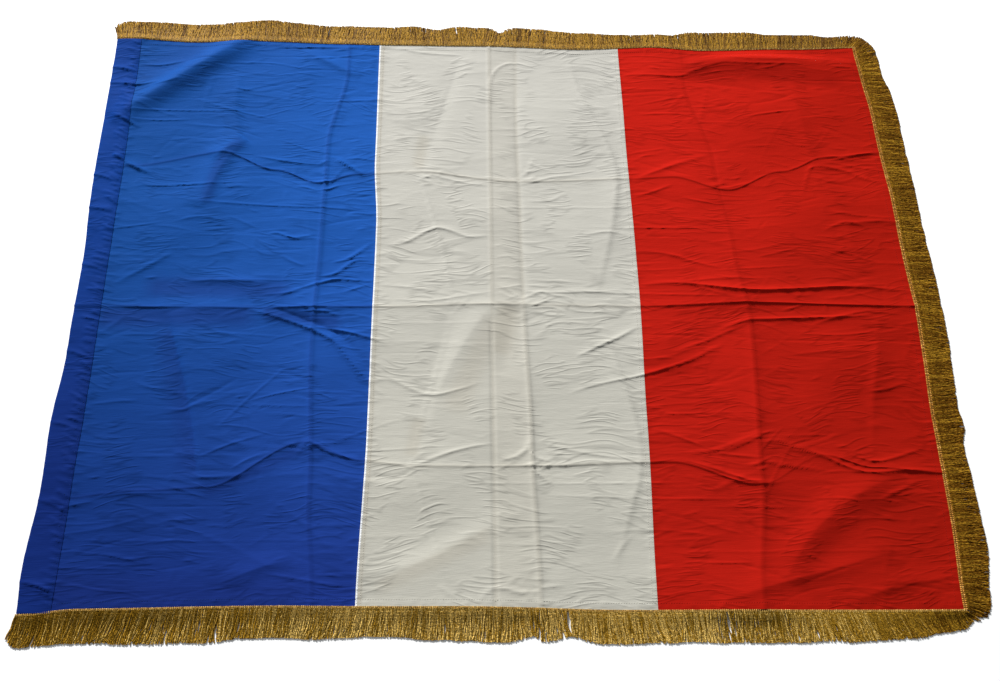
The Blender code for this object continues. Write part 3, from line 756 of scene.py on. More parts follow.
@dataclass
class Relief:
    """The height of the cloth's upper side.

    Attributes:
        bed: How high flat cloth lies.
        floor: The lowest that its upper side may come.
        room: How gently it comes down to that.
        gain: How much deeper the wrinkles are than their rows say, in the coloured panels.
        calm: The same in the white panel, whose cloth is stiffer.
        swell: How far the slow swells between the folds rise and fall.
        swells: How many slow waves make them up.
        swell_lengths: The shortest and the longest wavelength of theirs.
        crumple: How far the sharp creases between the swells rise and fall.
        crumples: The wavelength of each set of those creases, and its share of them.
        seed: The seed of the waves.
        hem: The width of the hems, which are two layers thick.
        fell: The width of the felled seams.
        layer: How much one more layer of cloth raises the surface.
        grip: How far the sleeve's lower layer raises the blue panel's edge.
        stain: How worn a storage fold's crest looks, from 0 to 1.
        strip: How far the strip between the two folds in the middle takes the darker colour, from 0 to 1.
    """

    bed: float = 0.0030
    floor: float = 0.0008
    room: float = 0.0008
    gain: float = 1.65
    calm: float = 1.02
    swell: float = 0.0005
    swells: int = 26
    swell_lengths: tuple[float, float] = (0.07, 0.32)
    crumple: float = 0.00045
    crumples: Pairs = ((0.110, 0.45), (0.060, 0.33), (0.034, 0.22))
    seed: int = 5
    hem: float = 0.011
    fell: float = 0.009
    layer: float = 0.0005
    grip: float = 0.0009
    stain: float = 0.25
    strip: float = 0.18
    wrinkles: tuple[Wrinkle, ...] = field(init=False)

    def __post_init__(self) -> None:
        """Gathers the listed wrinkles and those drawn at random."""
        draw = np.random.default_rng(self.seed)
        drawn = FineWrinkles().rows() + PRESSED_LINES.rows() + SOFT_RIDGES.rows()
        for group in (*CROSSINGS, *PUCKERS):
            drawn += group.rows(draw)
        self.wrinkles = (*BLUE_WRINKLES, *WHITE_WRINKLES, *RED_WRINKLES, *SLEEVE_WRINKLES, *drawn)

    def slow(self, x: Array, y: Array) -> Array:
        """The slow swells between the folds.

        Args:
            x: Places across the flag.
            y: Places up the flag.

        Returns:
            Their height at each point.
        """
        draw = np.random.default_rng(self.seed)
        height = np.zeros_like(x)
        usual_sum = 0.6
        for _ in range(self.swells):
            wavelength = draw.uniform(*self.swell_lengths)
            angle = draw.normal(math.pi / 2, 0.7)
            phase = draw.uniform(0, 2 * math.pi)
            along = x * math.cos(angle) + y * math.sin(angle)
            height += wavelength * np.sin(2 * math.pi * along / wavelength + phase)
        return self.swell * height / usual_sum

    def crumpled(self, x: Array, y: Array) -> Array:
        """Sharp, wandering creases, most of them along the ribs.

        Args:
            x: Places across the flag.
            y: Places up the flag.

        Returns:
            Their height at each point, from the full rise at a crease down to zero.
        """
        draw = np.random.default_rng(self.seed + 1)
        height = np.zeros_like(x)
        for size, share in self.crumples:
            field = np.zeros_like(x)
            for _ in range(7):
                wavelength = size * draw.uniform(0.7, 1.5)
                angle = draw.normal(math.pi / 2, 0.22)
                along = x * math.cos(angle) + y * math.sin(angle)
                bend = 0.12 * size * np.sin(2 * math.pi * x / (3.4 * size) + draw.uniform(0, 6))
                field += np.sin(2 * math.pi * (along + bend) / wavelength + draw.uniform(0, 6))
            height += share * np.exp(-2.2 * np.abs(field) / 1.9)
        return self.crumple * height

    def top(self, x: Array, y: Array) -> Array:
        """The height of the cloth's upper side.

        Args:
            x: Places across the flag.
            y: Places up the flag.

        Returns:
            The height at each point.
        """
        x = np.asarray(x, float)
        y = np.asarray(y, float)
        height = self.slow(x, y) + self.crumpled(x, y)
        for shape in (*FOLDS, *self.wrinkles):
            height += shape.height(x, y)
        ease = 0.010
        white = past(x - BLUE_WHITE_X.at(y), ease) * past(WHITE_RED_X.at(y) - x, ease)
        height = self.bed + height * (self.gain + (self.calm - self.gain) * white)
        height = self.floor + self.room * np.logaddexp(0.0, (height - self.floor) / self.room)
        grip = past(SLEEVE_X.at(y) + 0.010 - x, 0.003)
        return height + self.layer * self.layers(x, y) + self.grip * grip

    def wear_and_shade(self, x: Array, y: Array) -> Array:
        """How far the cloth takes its darker colour: worn along the storage folds, darker in the middle strip,
        painted shade in bands.

        Args:
            x: Places across the flag.
            y: Places up the flag.

        Returns:
            A number from 0 to 1 at each point.
        """
        wear_and_shade = np.zeros_like(x)
        width = 0.004
        for fold in FOLDS:
            along, off = (y, x) if fold.upright else (x, y)
            away = (off - fold.line.at(along)) / width
            wear_and_shade = np.maximum(wear_and_shade, self.stain * np.exp(-away * away))
        # Painted shade: the bands beside the folds darken the cloth where shade falls, partly as soiling.
        for shade_and_soil in SHADE_AND_SOIL:
            wear_and_shade = np.maximum(wear_and_shade, shade_and_soil.cover(x, y))
        ease = 0.002
        strip = past(x - MIDDLE_FOLD_X.at(y), ease) - past(x - STRIP_FOLD_X.at(y), ease)
        return np.clip(wear_and_shade + self.strip * strip, 0.0, 1.0)

    def layers(self, x: Array, y: Array) -> Array:
        """How many more layers of cloth lie at each point, in hems and felled seams.

        Args:
            x: Places across the flag.
            y: Places up the flag.

        Returns:
            A number from 0 to about 1.
        """
        ease = 0.0016
        to_edge = np.minimum(TOP_Y.at(x) - y, y - BOTTOM_Y.at(x))
        to_edge = np.minimum(to_edge, FLY_X.at(y) - x)
        hems = past(self.hem - to_edge, ease)
        for seam, way in ((BLUE_WHITE_X, 1.0), (WHITE_RED_X, -1.0)):
            off = way * (x - seam.at(y))
            hems = np.maximum(hems, np.where(off > -0.0005, past(self.fell - off, ease), 0.0))
        return hems


# Node trees and meshes


class Graph:
    """Adds nodes to a tree, with their settings, values and links in one call."""

    def __init__(self, tree: bpy.types.NodeTree) -> None:
        """Keeps the tree that nodes are added to."""
        self.tree = tree

    def fill(self, node: bpy.types.Node, inputs: Inputs) -> None:
        """Gives a node's inputs their values.

        Args:
            node: The node.
            inputs: Values or sockets for its inputs, by name or by place.
        """
        for key, value in inputs.items():
            if isinstance(value, Socket):
                self.tree.links.new(value, node.inputs[key])
            else:
                node.inputs[key].default_value = value

    def node(self, kind: str, inputs: Inputs | None = None, **settings: Any) -> bpy.types.Node:
        """Adds a node.

        Args:
            kind: The node's type.
            inputs: Values or sockets for its inputs, by name or by place.
            **settings: Its other settings.

        Returns:
            The node.
        """
        made = self.tree.nodes.new(kind)
        for name, value in settings.items():
            setattr(made, name, value)
        self.fill(made, inputs or {})
        return made

    def output(self, kind: str, inputs: Inputs | None = None, **settings: Any) -> Socket:
        """Adds a node and returns its first output."""
        return self.node(kind, inputs, **settings).outputs[0]

    def math(self, operation: str, *values: Any) -> Socket:
        """Adds a Math node and returns its result."""
        return self.output("ShaderNodeMath", dict(enumerate(values)), operation=operation)

    def times(self, first: Any, second: Any) -> Socket:
        """Multiplies two numbers."""
        return self.math("MULTIPLY", first, second)

    def vector(self, operation: str, *values: Any) -> Socket:
        """Adds a Vector Math node and returns its vector."""
        return self.output("ShaderNodeVectorMath", dict(enumerate(values)), operation=operation)

    def joined(self, x: Any, y: Any, z: Any) -> Socket:
        """Makes a vector of three numbers."""
        return self.output("ShaderNodeCombineXYZ", {0: x, 1: y, 2: z})

    def split(self, vector: Socket) -> Any:
        """The three numbers of a vector."""
        return self.node("ShaderNodeSeparateXYZ", {0: vector}).outputs

    def spread(self, value: Any, low: float, high: float, out_low: float, out_high: float) -> Socket:
        """Maps the range from low to high, smoothly, onto the one from out_low to out_high."""
        inputs = dict(enumerate((value, low, high, out_low, out_high)))
        return self.output("ShaderNodeMapRange", inputs, interpolation_type="SMOOTHSTEP")

    def blend(self, share: Any, first: Any, second: Any) -> Socket:
        """Mixes two colours by a share of the second."""
        return self.node("ShaderNodeMix", {0: share, 6: first, 7: second}, data_type="RGBA").outputs[2]

    def scaled(self, colour: Any, factor: Any) -> Socket:
        """Multiplies a colour by a number."""
        return self.output("ShaderNodeVectorMath", {0: colour, 3: factor}, operation="SCALE")

    def place(self) -> Socket:
        """The place on the flag."""
        return self.node("ShaderNodeTexCoord").outputs["Object"]

    def stored(self, name: str) -> Any:
        """The outputs that read what a mesh stores under a name."""
        return self.node("ShaderNodeAttribute", attribute_name=name).outputs

    def stretched(self, place: Any, scale: Colour, turn: float = 0.0) -> Socket:
        """The place, turned on the flat and stretched, for a pattern to be read from."""
        inputs = {0: place, "Rotation": (0.0, 0.0, turn), "Scale": scale}
        return self.output("ShaderNodeMapping", inputs)

    def noise(self, place: Any, scale: float, detail: float) -> Socket:
        """Smooth noise from 0 to 1, with as many finer layers as detail says."""
        inputs = {0: place, "Scale": scale, "Detail": detail}
        return self.output("ShaderNodeTexNoise", inputs)

    def bump(self, height: Any, distance: float) -> Socket:
        """Bends the normals by a pattern's height."""
        inputs = {"Strength": 0.6, "Distance": distance, "Height": height}
        return self.output("ShaderNodeBump", inputs)


class GeometryTree(Graph):
    """A geometry tree that grows a piece from a few lines of edges."""

    def __init__(self, name: str) -> None:
        """Starts a tree with geometry in and out."""
        super().__init__(bpy.data.node_groups.new(name, "GeometryNodeTree"))
        for way in ("INPUT", "OUTPUT"):
            self.tree.interface.new_socket("Geometry", in_out=way, socket_type="NodeSocketGeometry")
        self.group = self.tree.nodes.new("NodeGroupInput")
        self.values: dict[str, float] = {}

    def size(self, name: str, value: float) -> Socket:
        """Adds a named input, to be given this value on the piece."""
        socket = self.tree.interface.new_socket(name, in_out="INPUT", socket_type="NodeSocketFloat")
        self.values[socket.identifier] = value
        return self.group.outputs[name]

    def chance(self, low: float, high: float, seed: int) -> Socket:
        """A number drawn for each point between two limits."""
        inputs = {2: low, 3: high, "Seed": seed}
        return self.node("FunctionNodeRandomValue", inputs, data_type="FLOAT").outputs[1]

    def waves(self, place: Any, length: float, offset: float) -> Socket:
        """Smooth noise from about -1 to 1 along a line.

        Args:
            place: The place along the line.
            length: The noise's rough wavelength.
            offset: Which stretch of the noise to read.

        Returns:
            The noise at each place.
        """
        moved = self.math("ADD", place, offset)
        inputs = {"W": moved, "Scale": 1 / length, "Detail": 1.0}
        noise = self.output("ShaderNodeTexNoise", inputs, noise_dimensions="1D")
        return self.math("MULTIPLY_ADD", noise, 4.0, -2.0)

    def keep(self, geometry: Any, name: str, value: Any, kind: str = "FLOAT") -> Socket:
        """Stores a value on the points under a name."""
        inputs = {"Geometry": geometry, "Name": name, "Value": value}
        return self.output("GeometryNodeStoreNamedAttribute", inputs, data_type=kind)

    def kept(self, name: str, kind: str = "FLOAT") -> Socket:
        """Reads a value stored under a name."""
        return self.output("GeometryNodeInputNamedAttribute", {"Name": name}, data_type=kind)

    def curve(self, pitch: Any) -> Socket:
        """The lines that come in, as curves with a point at each pitch."""
        curves = self.output("GeometryNodeMeshToCurve", {"Mesh": self.group.outputs["Geometry"]})
        inputs = {"Curve": curves, "Length": pitch}
        return self.output("GeometryNodeResampleCurve", inputs, mode="LENGTH")

    def spline(self, measure: str) -> Socket:
        """Each point's place along its curve: its Length in metres or its Factor from 0 to 1."""
        return self.node("GeometryNodeSplineParameter").outputs[measure]

    def position(self) -> Socket:
        """Each point's position."""
        return self.output("GeometryNodeInputPosition")

    def circle(self, sides: int, radius: Any) -> Socket:
        """A round section with this many sides."""
        inputs = {"Resolution": sides, "Radius": radius}
        return self.output("GeometryNodeCurvePrimitiveCircle", inputs)

    def tube(self, curve: Any, section: Any, scale: Any = 1.0) -> Socket:
        """A closed tube of this section along a curve."""
        inputs = {"Curve": curve, "Profile Curve": section, "Scale": scale, "Fill Caps": True}
        return self.output("GeometryNodeCurveToMesh", inputs)

    def moved(self, geometry: Any, **places: Any) -> Socket:
        """Moves the points to a Position or by an Offset."""
        return self.output("GeometryNodeSetPosition", {"Geometry": geometry, **places})

    def resized(self, geometry: Any, scale: Any) -> Socket:
        """Scales the geometry."""
        return self.output("GeometryNodeTransform", {"Geometry": geometry, "Scale": scale})

    def bead(self, length: Any, width: Any) -> Socket:
        """A small rounded grain, longer than it is wide."""
        ball = self.output("GeometryNodeMeshIcoSphere", {"Radius": 0.5, "Subdivisions": 1})
        return self.resized(ball, self.joined(length, width, width))

    def placed(self, points: Any, copy: Any, **settings: Any) -> Socket:
        """Puts a copy on each point."""
        inputs = {"Points": points, "Instance": copy, **settings}
        return self.output("GeometryNodeInstanceOnPoints", inputs)

    def realized(self, geometry: Any) -> Socket:
        """Makes the copies real geometry."""
        return self.output("GeometryNodeRealizeInstances", {"Geometry": geometry})

    def along_line(self, turn: float = 0.0) -> Socket:
        """A rotation that lays a grain along its line, turned a little on the flat.

        Args:
            turn: How far to turn it, in radians.

        Returns:
            The rotation.
        """
        tangent = self.output("GeometryNodeInputTangent")
        aligned = self.output("FunctionNodeAlignRotationToVector", {"Vector": tangent}, axis="X")
        spin = self.output("FunctionNodeEulerToRotation", {0: (0.0, 0.0, turn)})
        inputs = {0: aligned, 1: spin}
        return self.output("FunctionNodeRotateRotation", inputs, rotation_space="LOCAL")

    def grow(self, lines: Piece, geometry: Any, finish: bpy.types.Material) -> Piece:
        """Turns the lines into the finished piece, as a plain mesh that is shaded smooth.

        Args:
            lines: The object that holds the lines, which becomes the piece.
            geometry: The tree's last geometry.
            finish: The piece's material.

        Returns:
            The piece.
        """
        smooth = self.output("GeometryNodeSetShadeSmooth", {"Geometry": geometry})
        inputs = {"Geometry": self.realized(smooth), "Material": finish}
        self.node("NodeGroupOutput", {0: self.output("GeometryNodeSetMaterial", inputs)})
        modifier = lines.modifiers.new(self.tree.name, "NODES")
        modifier.node_group = self.tree
        for identifier, value in self.values.items():
            modifier[identifier] = value
        apply_modifier(lines, modifier)
        return lines


def apply_modifier(obj: Piece, modifier: bpy.types.Modifier) -> None:
    """Turns what a modifier makes into the object's own mesh.

    Args:
        obj: The object.
        modifier: Its only modifier, which is removed.
    """
    graph = bpy.context.evaluated_depsgraph_get()
    made = bpy.data.meshes.new_from_object(
        obj.evaluated_get(graph), preserve_all_data_layers=True, depsgraph=graph
    )
    obj.modifiers.remove(modifier)
    obj.data = made


def new_object(name: str, data: bpy.types.ID) -> Piece:
    """Puts a mesh, a camera or a lamp in the scene as an object of its own."""
    made = bpy.data.objects.new(name, data)
    bpy.context.scene.collection.objects.link(made)
    return made


def plain_mesh(name: str, points: Array, edges: list[Any], faces: list[Any]) -> bpy.types.Mesh:
    """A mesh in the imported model's frame.

    Args:
        name: Its name.
        points: Its points, one row each, from the middle of the cloth.
        edges: Its loose edges.
        faces: Its faces.

    Returns:
        The mesh.
    """
    mesh = bpy.data.meshes.new(name)
    mesh.from_pydata((points - np.array((*MIDDLE, 0.0))).tolist(), edges, faces)
    return mesh


def store(mesh: bpy.types.Mesh, name: str, numbers: Array) -> None:
    """Stores a number on each of a mesh's points under a name."""
    mesh.attributes.new(name, "FLOAT", "POINT").data.foreach_set("value", numbers)


def lines_object(name: str, runs: list[Array], values: dict[str, Array] | None = None) -> Piece:
    """An object of loose runs of edges, for a geometry tree to grow a piece from.

    Args:
        name: The object's name.
        runs: The points of each run, one row each, from the middle of the cloth.
        values: For each name, the numbers to store on the points.

    Returns:
        The object.
    """
    edges = []
    first = 0
    for run in runs:
        edges += [(k, k + 1) for k in range(first, first + len(run) - 1)]
        first += len(run)
    mesh = plain_mesh(name, np.concatenate(runs), edges, [])
    for key, numbers in (values or {}).items():
        store(mesh, key, numbers)
    return new_object(name, mesh)


def report(obj: Piece) -> None:
    """Logs a finished piece's name and size."""
    obj.data.calc_loop_triangles()
    log.info("%s: %d triangles", obj.name, len(obj.data.loop_triangles))


# Finishes


def solid(colour: Colour) -> tuple[float, float, float, float]:
    """The colour with full alpha."""
    return (*colour, 1.0)


def new_finish(name: str) -> tuple[bpy.types.Material, Graph, bpy.types.Node]:
    """Starts a material.

    Args:
        name: Its name.

    Returns:
        The material, its graph and its main shader.
    """
    made = bpy.data.materials.new(name)
    made.use_nodes = True
    return made, Graph(made.node_tree), made.node_tree.nodes["Principled BSDF"]


@dataclass(frozen=True)
class Silk:
    """A ribbed silk, dyed one colour, with painted light that makes it lighter towards the top of the flag.

    Attributes:
        name: The material's name.
        upper: Its colour at the top of the flag, where the painted light and sheen are strongest.
        lower: Its colour at the bottom, where that painted light is weakest.
        aged_and_shaded: Its colour where it has been folded or has yellowed, and in the bands of painted
            shade.
        edge: Its colour along the sewn edge by the hoist side's seam.
        gloss: The colour of its lustre.
        edge_width: How wide that edge is.
        band: How much of the aged_and_shaded colour shows beside that edge.
        slub: How much the thick and thin threads change the colour.
        lustre: How strong its lustre is.
        roughness: How rough it is.
        light_falloff: The places up the flag between which it goes from the lower colour to the upper one, as
            painted light.
        sides: The places across the flag between which the painted light goes from the hoist's side to the
            fly's.
        hoist_painted_light: The painted light on the hoist's side, as a factor on the colour.
        fly_painted_light: The painted light on the fly's side, as a factor on the colour.
        crease: How deep the finest creases are.
        threads: How many threads change in each metre, across the flag and up it.
        bundles: How many bundles of them change.
        ribs: How close the ribs are.
    """

    name: str
    upper: Colour
    lower: Colour
    aged_and_shaded: Colour
    edge: Colour
    gloss: Colour
    edge_width: float = 0.0
    band: float = 0.0
    slub: float = 0.07
    lustre: float = 0.04
    roughness: float = 0.50
    light_falloff: tuple[float, float] = (-0.62, 0.62)
    sides: tuple[float, float] = (-1.0, 1.0)
    hoist_painted_light: Colour = (1.0, 1.0, 1.0)
    fly_painted_light: Colour = (1.0, 1.0, 1.0)
    crease: float = 1.3
    threads: Colour = (55.0, 700.0, 1.0)
    bundles: Colour = (16.0, 150.0, 1.0)
    ribs: float = 330.0

    def material(self) -> bpy.types.Material:
        """Builds the silk, with its ribs, slubs and soft stains, painted shade along its finest creases, and
        painted light that grows towards the top.

        Returns:
            The material.
        """
        made, graph, shader = new_finish(self.name)
        place = graph.place()
        slubs = graph.noise(graph.stretched(place, self.threads), 1.0, 4.0)
        bundles = graph.noise(graph.stretched(place, self.bundles), 1.0, 2.0)
        stains = graph.noise(place, 7.0, 3.0)
        creases = self.creases(graph, place)
        inputs = {0: place, "Scale": self.ribs, "Distortion": 1.2, "Detail": 1.0}
        ribs = graph.node("ShaderNodeTexWave", inputs, bands_direction="Y").outputs[1]
        shade = graph.math("MULTIPLY_ADD", slubs, 2 * self.slub, 1 - self.slub)
        # The finest creases also darken the colour: painted shade along them.
        for pattern, gain, base in (
            (bundles, self.slub, 1 - self.slub / 2), (stains, 0.10, 0.95), (creases, -0.10, 1.0),
        ):
            shade = graph.times(shade, graph.math("MULTIPLY_ADD", pattern, gain, base))
        relief = graph.math("MULTIPLY_ADD", ribs, 0.25, slubs)
        relief = graph.math("MULTIPLY_ADD", bundles, 0.5, relief)
        relief = graph.math("MULTIPLY_ADD", creases, self.crease, relief)
        graph.fill(shader, {
            "Base Color": graph.scaled(self.dye(graph, place), shade),
            "Specular IOR Level": self.lustre,
            "Specular Tint": solid(self.gloss),
            "Roughness": graph.math("MULTIPLY_ADD", slubs, 0.14, self.roughness - 0.07),
            "Normal": graph.bump(relief, 0.0005),
        })
        return made

    def dye(self, graph: Graph, place: Socket) -> Socket:
        """The colour, with its painted light, its worn colour along the folds and its bands of painted shade.

        Args:
            graph: The material's graph.
            place: The place on the cloth.

        Returns:
            The colour.
        """
        across, height = graph.split(place)[:2]
        # Painted light: lighter towards the top of the flag, and lighter or darker from the hoist's side to
        # the fly's.
        light_falloff = graph.spread(height, *self.light_falloff, 0.0, 1.0)
        colour = graph.blend(light_falloff, solid(self.lower), solid(self.upper))
        side = graph.spread(across, *self.sides, 0.0, 1.0)
        painted_side_light = graph.blend(side, solid(self.hoist_painted_light), solid(self.fly_painted_light))
        colour = graph.vector("MULTIPLY", colour, painted_side_light)
        # Worn colour along the storage folds, and painted shade in the bands beside them.
        colour = graph.blend(graph.stored("wear_and_shade")["Fac"], colour, solid(self.aged_and_shaded))
        if self.edge_width:
            from_seam = graph.split(graph.output("ShaderNodeUVMap", uv_map="cloth"))[0]
            soiled = graph.spread(from_seam, 0.010, 0.013, self.band, 0.0)
            colour = graph.blend(soiled, colour, solid(self.aged_and_shaded))
            rim = graph.spread(from_seam, self.edge_width * 0.8, self.edge_width * 1.2, 1.0, 0.0)
            colour = graph.blend(rim, colour, solid(self.edge))
        return colour

    def creases(self, graph: Graph, place: Socket) -> Socket:
        """The finest creases: thin broken lines that wander along the ribs.

        Args:
            graph: The material's graph.
            place: The place on the cloth.

        Returns:
            Their height, from 0 to about 1.
        """
        drift = graph.joined(0.0, graph.times(graph.noise(place, 5.0, 1.0), 0.10), 0.0)
        moved = graph.vector("ADD", place, drift)
        total = 0.0
        for stretch, patch, width in (((6.0, 38.0, 1.0), 8.0, 0.10), ((14.0, 75.0, 1.0), 15.0, 0.14)):
            field = graph.noise(graph.stretched(moved, stretch), 1.0, 1.0)
            away = graph.math("ABSOLUTE", graph.math("SUBTRACT", field, 0.5))
            line = graph.spread(away, 0.0, width, 1.0, 0.0)
            line = graph.times(line, line)
            line = graph.times(line, graph.spread(graph.noise(place, patch, 0.0), 0.50, 0.62, 0.0, 1.0))
            total = graph.math("ADD", line, total)
        return total


@dataclass(frozen=True)
class Bullion:
    """Twisted gold thread, gone dull, in strands of slightly different tones, with painted glints and painted
    shade in its twist.

    Attributes:
        name: The material's name.
        dark: The dullest strands' colour.
        gold: Most strands' colour.
        pale: The brightest strands' colour.
        twist: The turns of the twist for each metre.
        slant: How far the painted glints lie from straight along the strands, in radians.
        dash: How many painted glints there are in each metre of their own length.
        gloss: The colour of its lustre.
        lustre: How strong that is.
        roughness: How rough it is.
    """

    name: str
    dark: Colour
    gold: Colour
    pale: Colour
    twist: float = 420.0
    slant: float = 0.75
    dash: float = 260.0
    gloss: Colour = (1.0, 0.72, 0.25)
    lustre: float = 0.06
    roughness: float = 0.45

    def material(self) -> bpy.types.Material:
        """Builds the gold thread with its twist, painted shade in the twist's grooves, painted glints and the
        tone of each strand.

        Returns:
            The material.
        """
        made, graph, shader = new_finish(self.name)
        tone = graph.stored("tone")["Fac"]
        along = graph.stored("along")["Fac"]
        around = graph.stored("round")["Vector"]
        place = graph.place()
        dashes = (self.dash, 3.2 * self.dash, self.dash)
        glints = [
            graph.noise(graph.stretched(place, dashes, way * self.slant), 1.0, 1.0) for way in (1, -1)
        ]
        which = graph.math("GREATER_THAN", graph.math("FRACT", graph.times(tone, 13.0)), 0.5)
        glint = graph.output("ShaderNodeMix", {0: which, 2: glints[0], 3: glints[1]})
        turn = graph.times(along, self.twist * 2 * math.pi)
        wound = graph.joined(graph.math("COSINE", turn), graph.math("SINE", turn), 0.0)
        ply = graph.node("ShaderNodeVectorMath", {0: wound, 1: around}, operation="DOT_PRODUCT").outputs[1]
        groove = graph.spread(ply, -1.0, 0.6, 0.0, 1.0)
        colour = graph.blend(graph.spread(tone, 0.0, 0.5, 0.0, 1.0), solid(self.dark), solid(self.gold))
        colour = graph.blend(graph.spread(tone, 0.62, 1.0, 0.0, 1.0), colour, solid(self.pale))
        # Painted shade in the twist's grooves, and painted glints: pale and dark dashes along the strands.
        shade = graph.math("MULTIPLY_ADD", groove, 0.5, 0.5)
        shade = graph.times(shade, graph.spread(glint, 0.34, 0.66, 0.45, 1.75))
        graph.fill(shader, {
            "Base Color": graph.scaled(colour, shade),
            "Roughness": self.roughness,
            "Specular IOR Level": self.lustre,
            "Specular Tint": solid(self.gloss),
            "Normal": graph.bump(groove, 0.0004),
        })
        return made


@dataclass(frozen=True)
class Thread:
    """Sewing thread of one colour.

    Attributes:
        name: The material's name.
        colour: Its colour.
    """

    name: str
    colour: Colour

    def material(self) -> bpy.types.Material:
        """Builds the thread, a little lighter and darker along its length.

        Returns:
            The material.
        """
        made, graph, shader = new_finish(self.name)
        shade = graph.spread(graph.noise(graph.place(), 120.0, 2.0), 0.3, 0.7, 0.75, 1.2)
        colour = graph.scaled(self.colour, shade)
        graph.fill(shader, {"Base Color": colour, "Roughness": 0.6, "Specular IOR Level": 0.05})
        return made


# Painted light: each silk is lighter towards the top, and the blue and the red are lighter towards the middle
# of the flag, where more light falls.
BLUE_SILK = Silk(
    "blue_silk", upper=(0.0097, 0.0671, 0.284), lower=(0.0085, 0.0168, 0.138), aged_and_shaded=(0.0080, 0.019, 0.120),
    edge=(0.018, 0.080, 0.330), gloss=(0.06, 0.35, 1.0), light_falloff=(-0.90, 0.30), sides=(-0.78, -0.24),
    hoist_painted_light=(0.80, 0.86, 0.86), fly_painted_light=(1.36, 1.23, 1.22), lustre=0.008,
)
SLEEVE_SILK = Silk(
    "sleeve_silk", upper=(0.0055, 0.0375, 0.205), lower=(0.0060, 0.0195, 0.128), aged_and_shaded=(0.005, 0.030, 0.190),
    edge=(0.014, 0.055, 0.290), gloss=(0.06, 0.30, 1.0), light_falloff=(-0.45, 0.35), lustre=0.008,
)
WHITE_SILK = Silk(
    "white_silk", upper=(0.460, 0.445, 0.400), lower=(0.460, 0.445, 0.385), aged_and_shaded=(0.395, 0.362, 0.295),
    edge=(0.80, 0.82, 0.84), gloss=(1.0, 1.0, 0.95), edge_width=0.003, band=0.35, slub=0.04,
)
RED_SILK = Silk(
    "red_silk", upper=(0.398, 0.0100, 0.0049), lower=(0.340, 0.0088, 0.0043), aged_and_shaded=(0.230, 0.0058, 0.0030),
    edge=(0.430, 0.020, 0.010), gloss=(1.0, 0.08, 0.04), sides=(0.30, 0.80),
    hoist_painted_light=(1.11, 1.14, 1.22), fly_painted_light=(0.90, 0.94, 0.88), lustre=0.015,
)
FRINGE_GOLD = Bullion(
    "fringe_gold", dark=(0.092, 0.0375, 0.0026), gold=(0.305, 0.163, 0.0140), pale=(0.64, 0.420, 0.110)
)
BRAID_GOLD = Bullion(
    "braid_gold", dark=(0.25, 0.108, 0.020), gold=(0.40, 0.182, 0.034), pale=(0.52, 0.285, 0.075)
)
DULL_BRAID = Bullion(
    "dull_braid", dark=(0.26, 0.144, 0.033), gold=(0.41, 0.250, 0.066), pale=(0.53, 0.365, 0.115)
)
BLUE_THREAD = Thread("blue_thread", (0.012, 0.040, 0.170))
WHITE_THREAD = Thread("white_thread", (0.50, 0.48, 0.42))
RED_THREAD = Thread("red_thread", (0.26, 0.010, 0.006))


# The cloth


COARSE = 3
CROSSING_STEPS = 4


def strips(lines: tuple[Line, ...], step: float) -> tuple[Array, Array]:
    """Divides the room between lines into strips of about one step, in whole groups.

    Args:
        lines: The lines, in order.
        step: The width of a strip.

    Returns:
        For each grid line, the line before it and its share of the way to the next.
    """
    places = np.linspace(-0.5, 0.5, 5)
    before, share = [0], [0.0]
    for k, (low, high) in enumerate(zip(lines, lines[1:])):
        width = float(np.mean(high.at(places) - low.at(places)))
        count = COARSE * max(1, round(width / step / COARSE))
        before += [k] * count
        share += [n / count for n in range(1, count + 1)]
    return np.array(before), np.array(share)


def woven_grid(
    uprights: tuple[Line, ...], levels: tuple[Line, ...], steps: tuple[float, float]
) -> tuple[Array, Array]:
    """A grid whose lines run along the uprights and the levels.

    Args:
        uprights: The lines up the flag, from the hoist side.
        levels: The lines across it, from the bottom.
        steps: The grid's steps, across the flag and up it.

    Returns:
        The x and the y of each crossing, in rows from the bottom.
    """
    column, column_share = strips(uprights, steps[0])
    row, row_share = strips(levels, steps[1])
    y = np.zeros((len(row), len(column)))
    x = np.zeros_like(y)
    columns = np.arange(len(column))
    rows = np.arange(len(row))
    for _ in range(CROSSING_STEPS):
        places = np.array([line.at(y) for line in uprights])
        low = places[column, :, columns].T
        high = places[np.minimum(column + 1, len(uprights) - 1), :, columns].T
        x = low + (high - low) * column_share
        places = np.array([line.at(x) for line in levels])
        low = places[row, rows, :]
        high = places[np.minimum(row + 1, len(levels) - 1), rows, :]
        y = low + (high - low) * row_share[:, None]
    return x, y


def lowest_near(height: Array) -> Array:
    """Finds the lowest height about each coarse point of a fine grid.

    Args:
        height: The height at each fine point.

    Returns:
        The lowest height near each coarse point.
    """
    reach = COARSE
    padded = np.pad(height, reach, mode="edge")
    lowest = height.copy()
    for i in range(2 * reach + 1):
        for j in range(2 * reach + 1):
            window = padded[i:i + height.shape[0], j:j + height.shape[1]]
            lowest = np.minimum(lowest, window)
    return lowest[::COARSE, ::COARSE]


def quads_of(numbers: Array) -> list[list[int]]:
    """The faces between the points of a grid, which face up where its rows go up the flag."""
    corners = (numbers[:-1, :-1], numbers[:-1, 1:], numbers[1:, 1:], numbers[1:, :-1])
    return np.stack(corners, axis=-1).reshape(-1, 4).tolist()


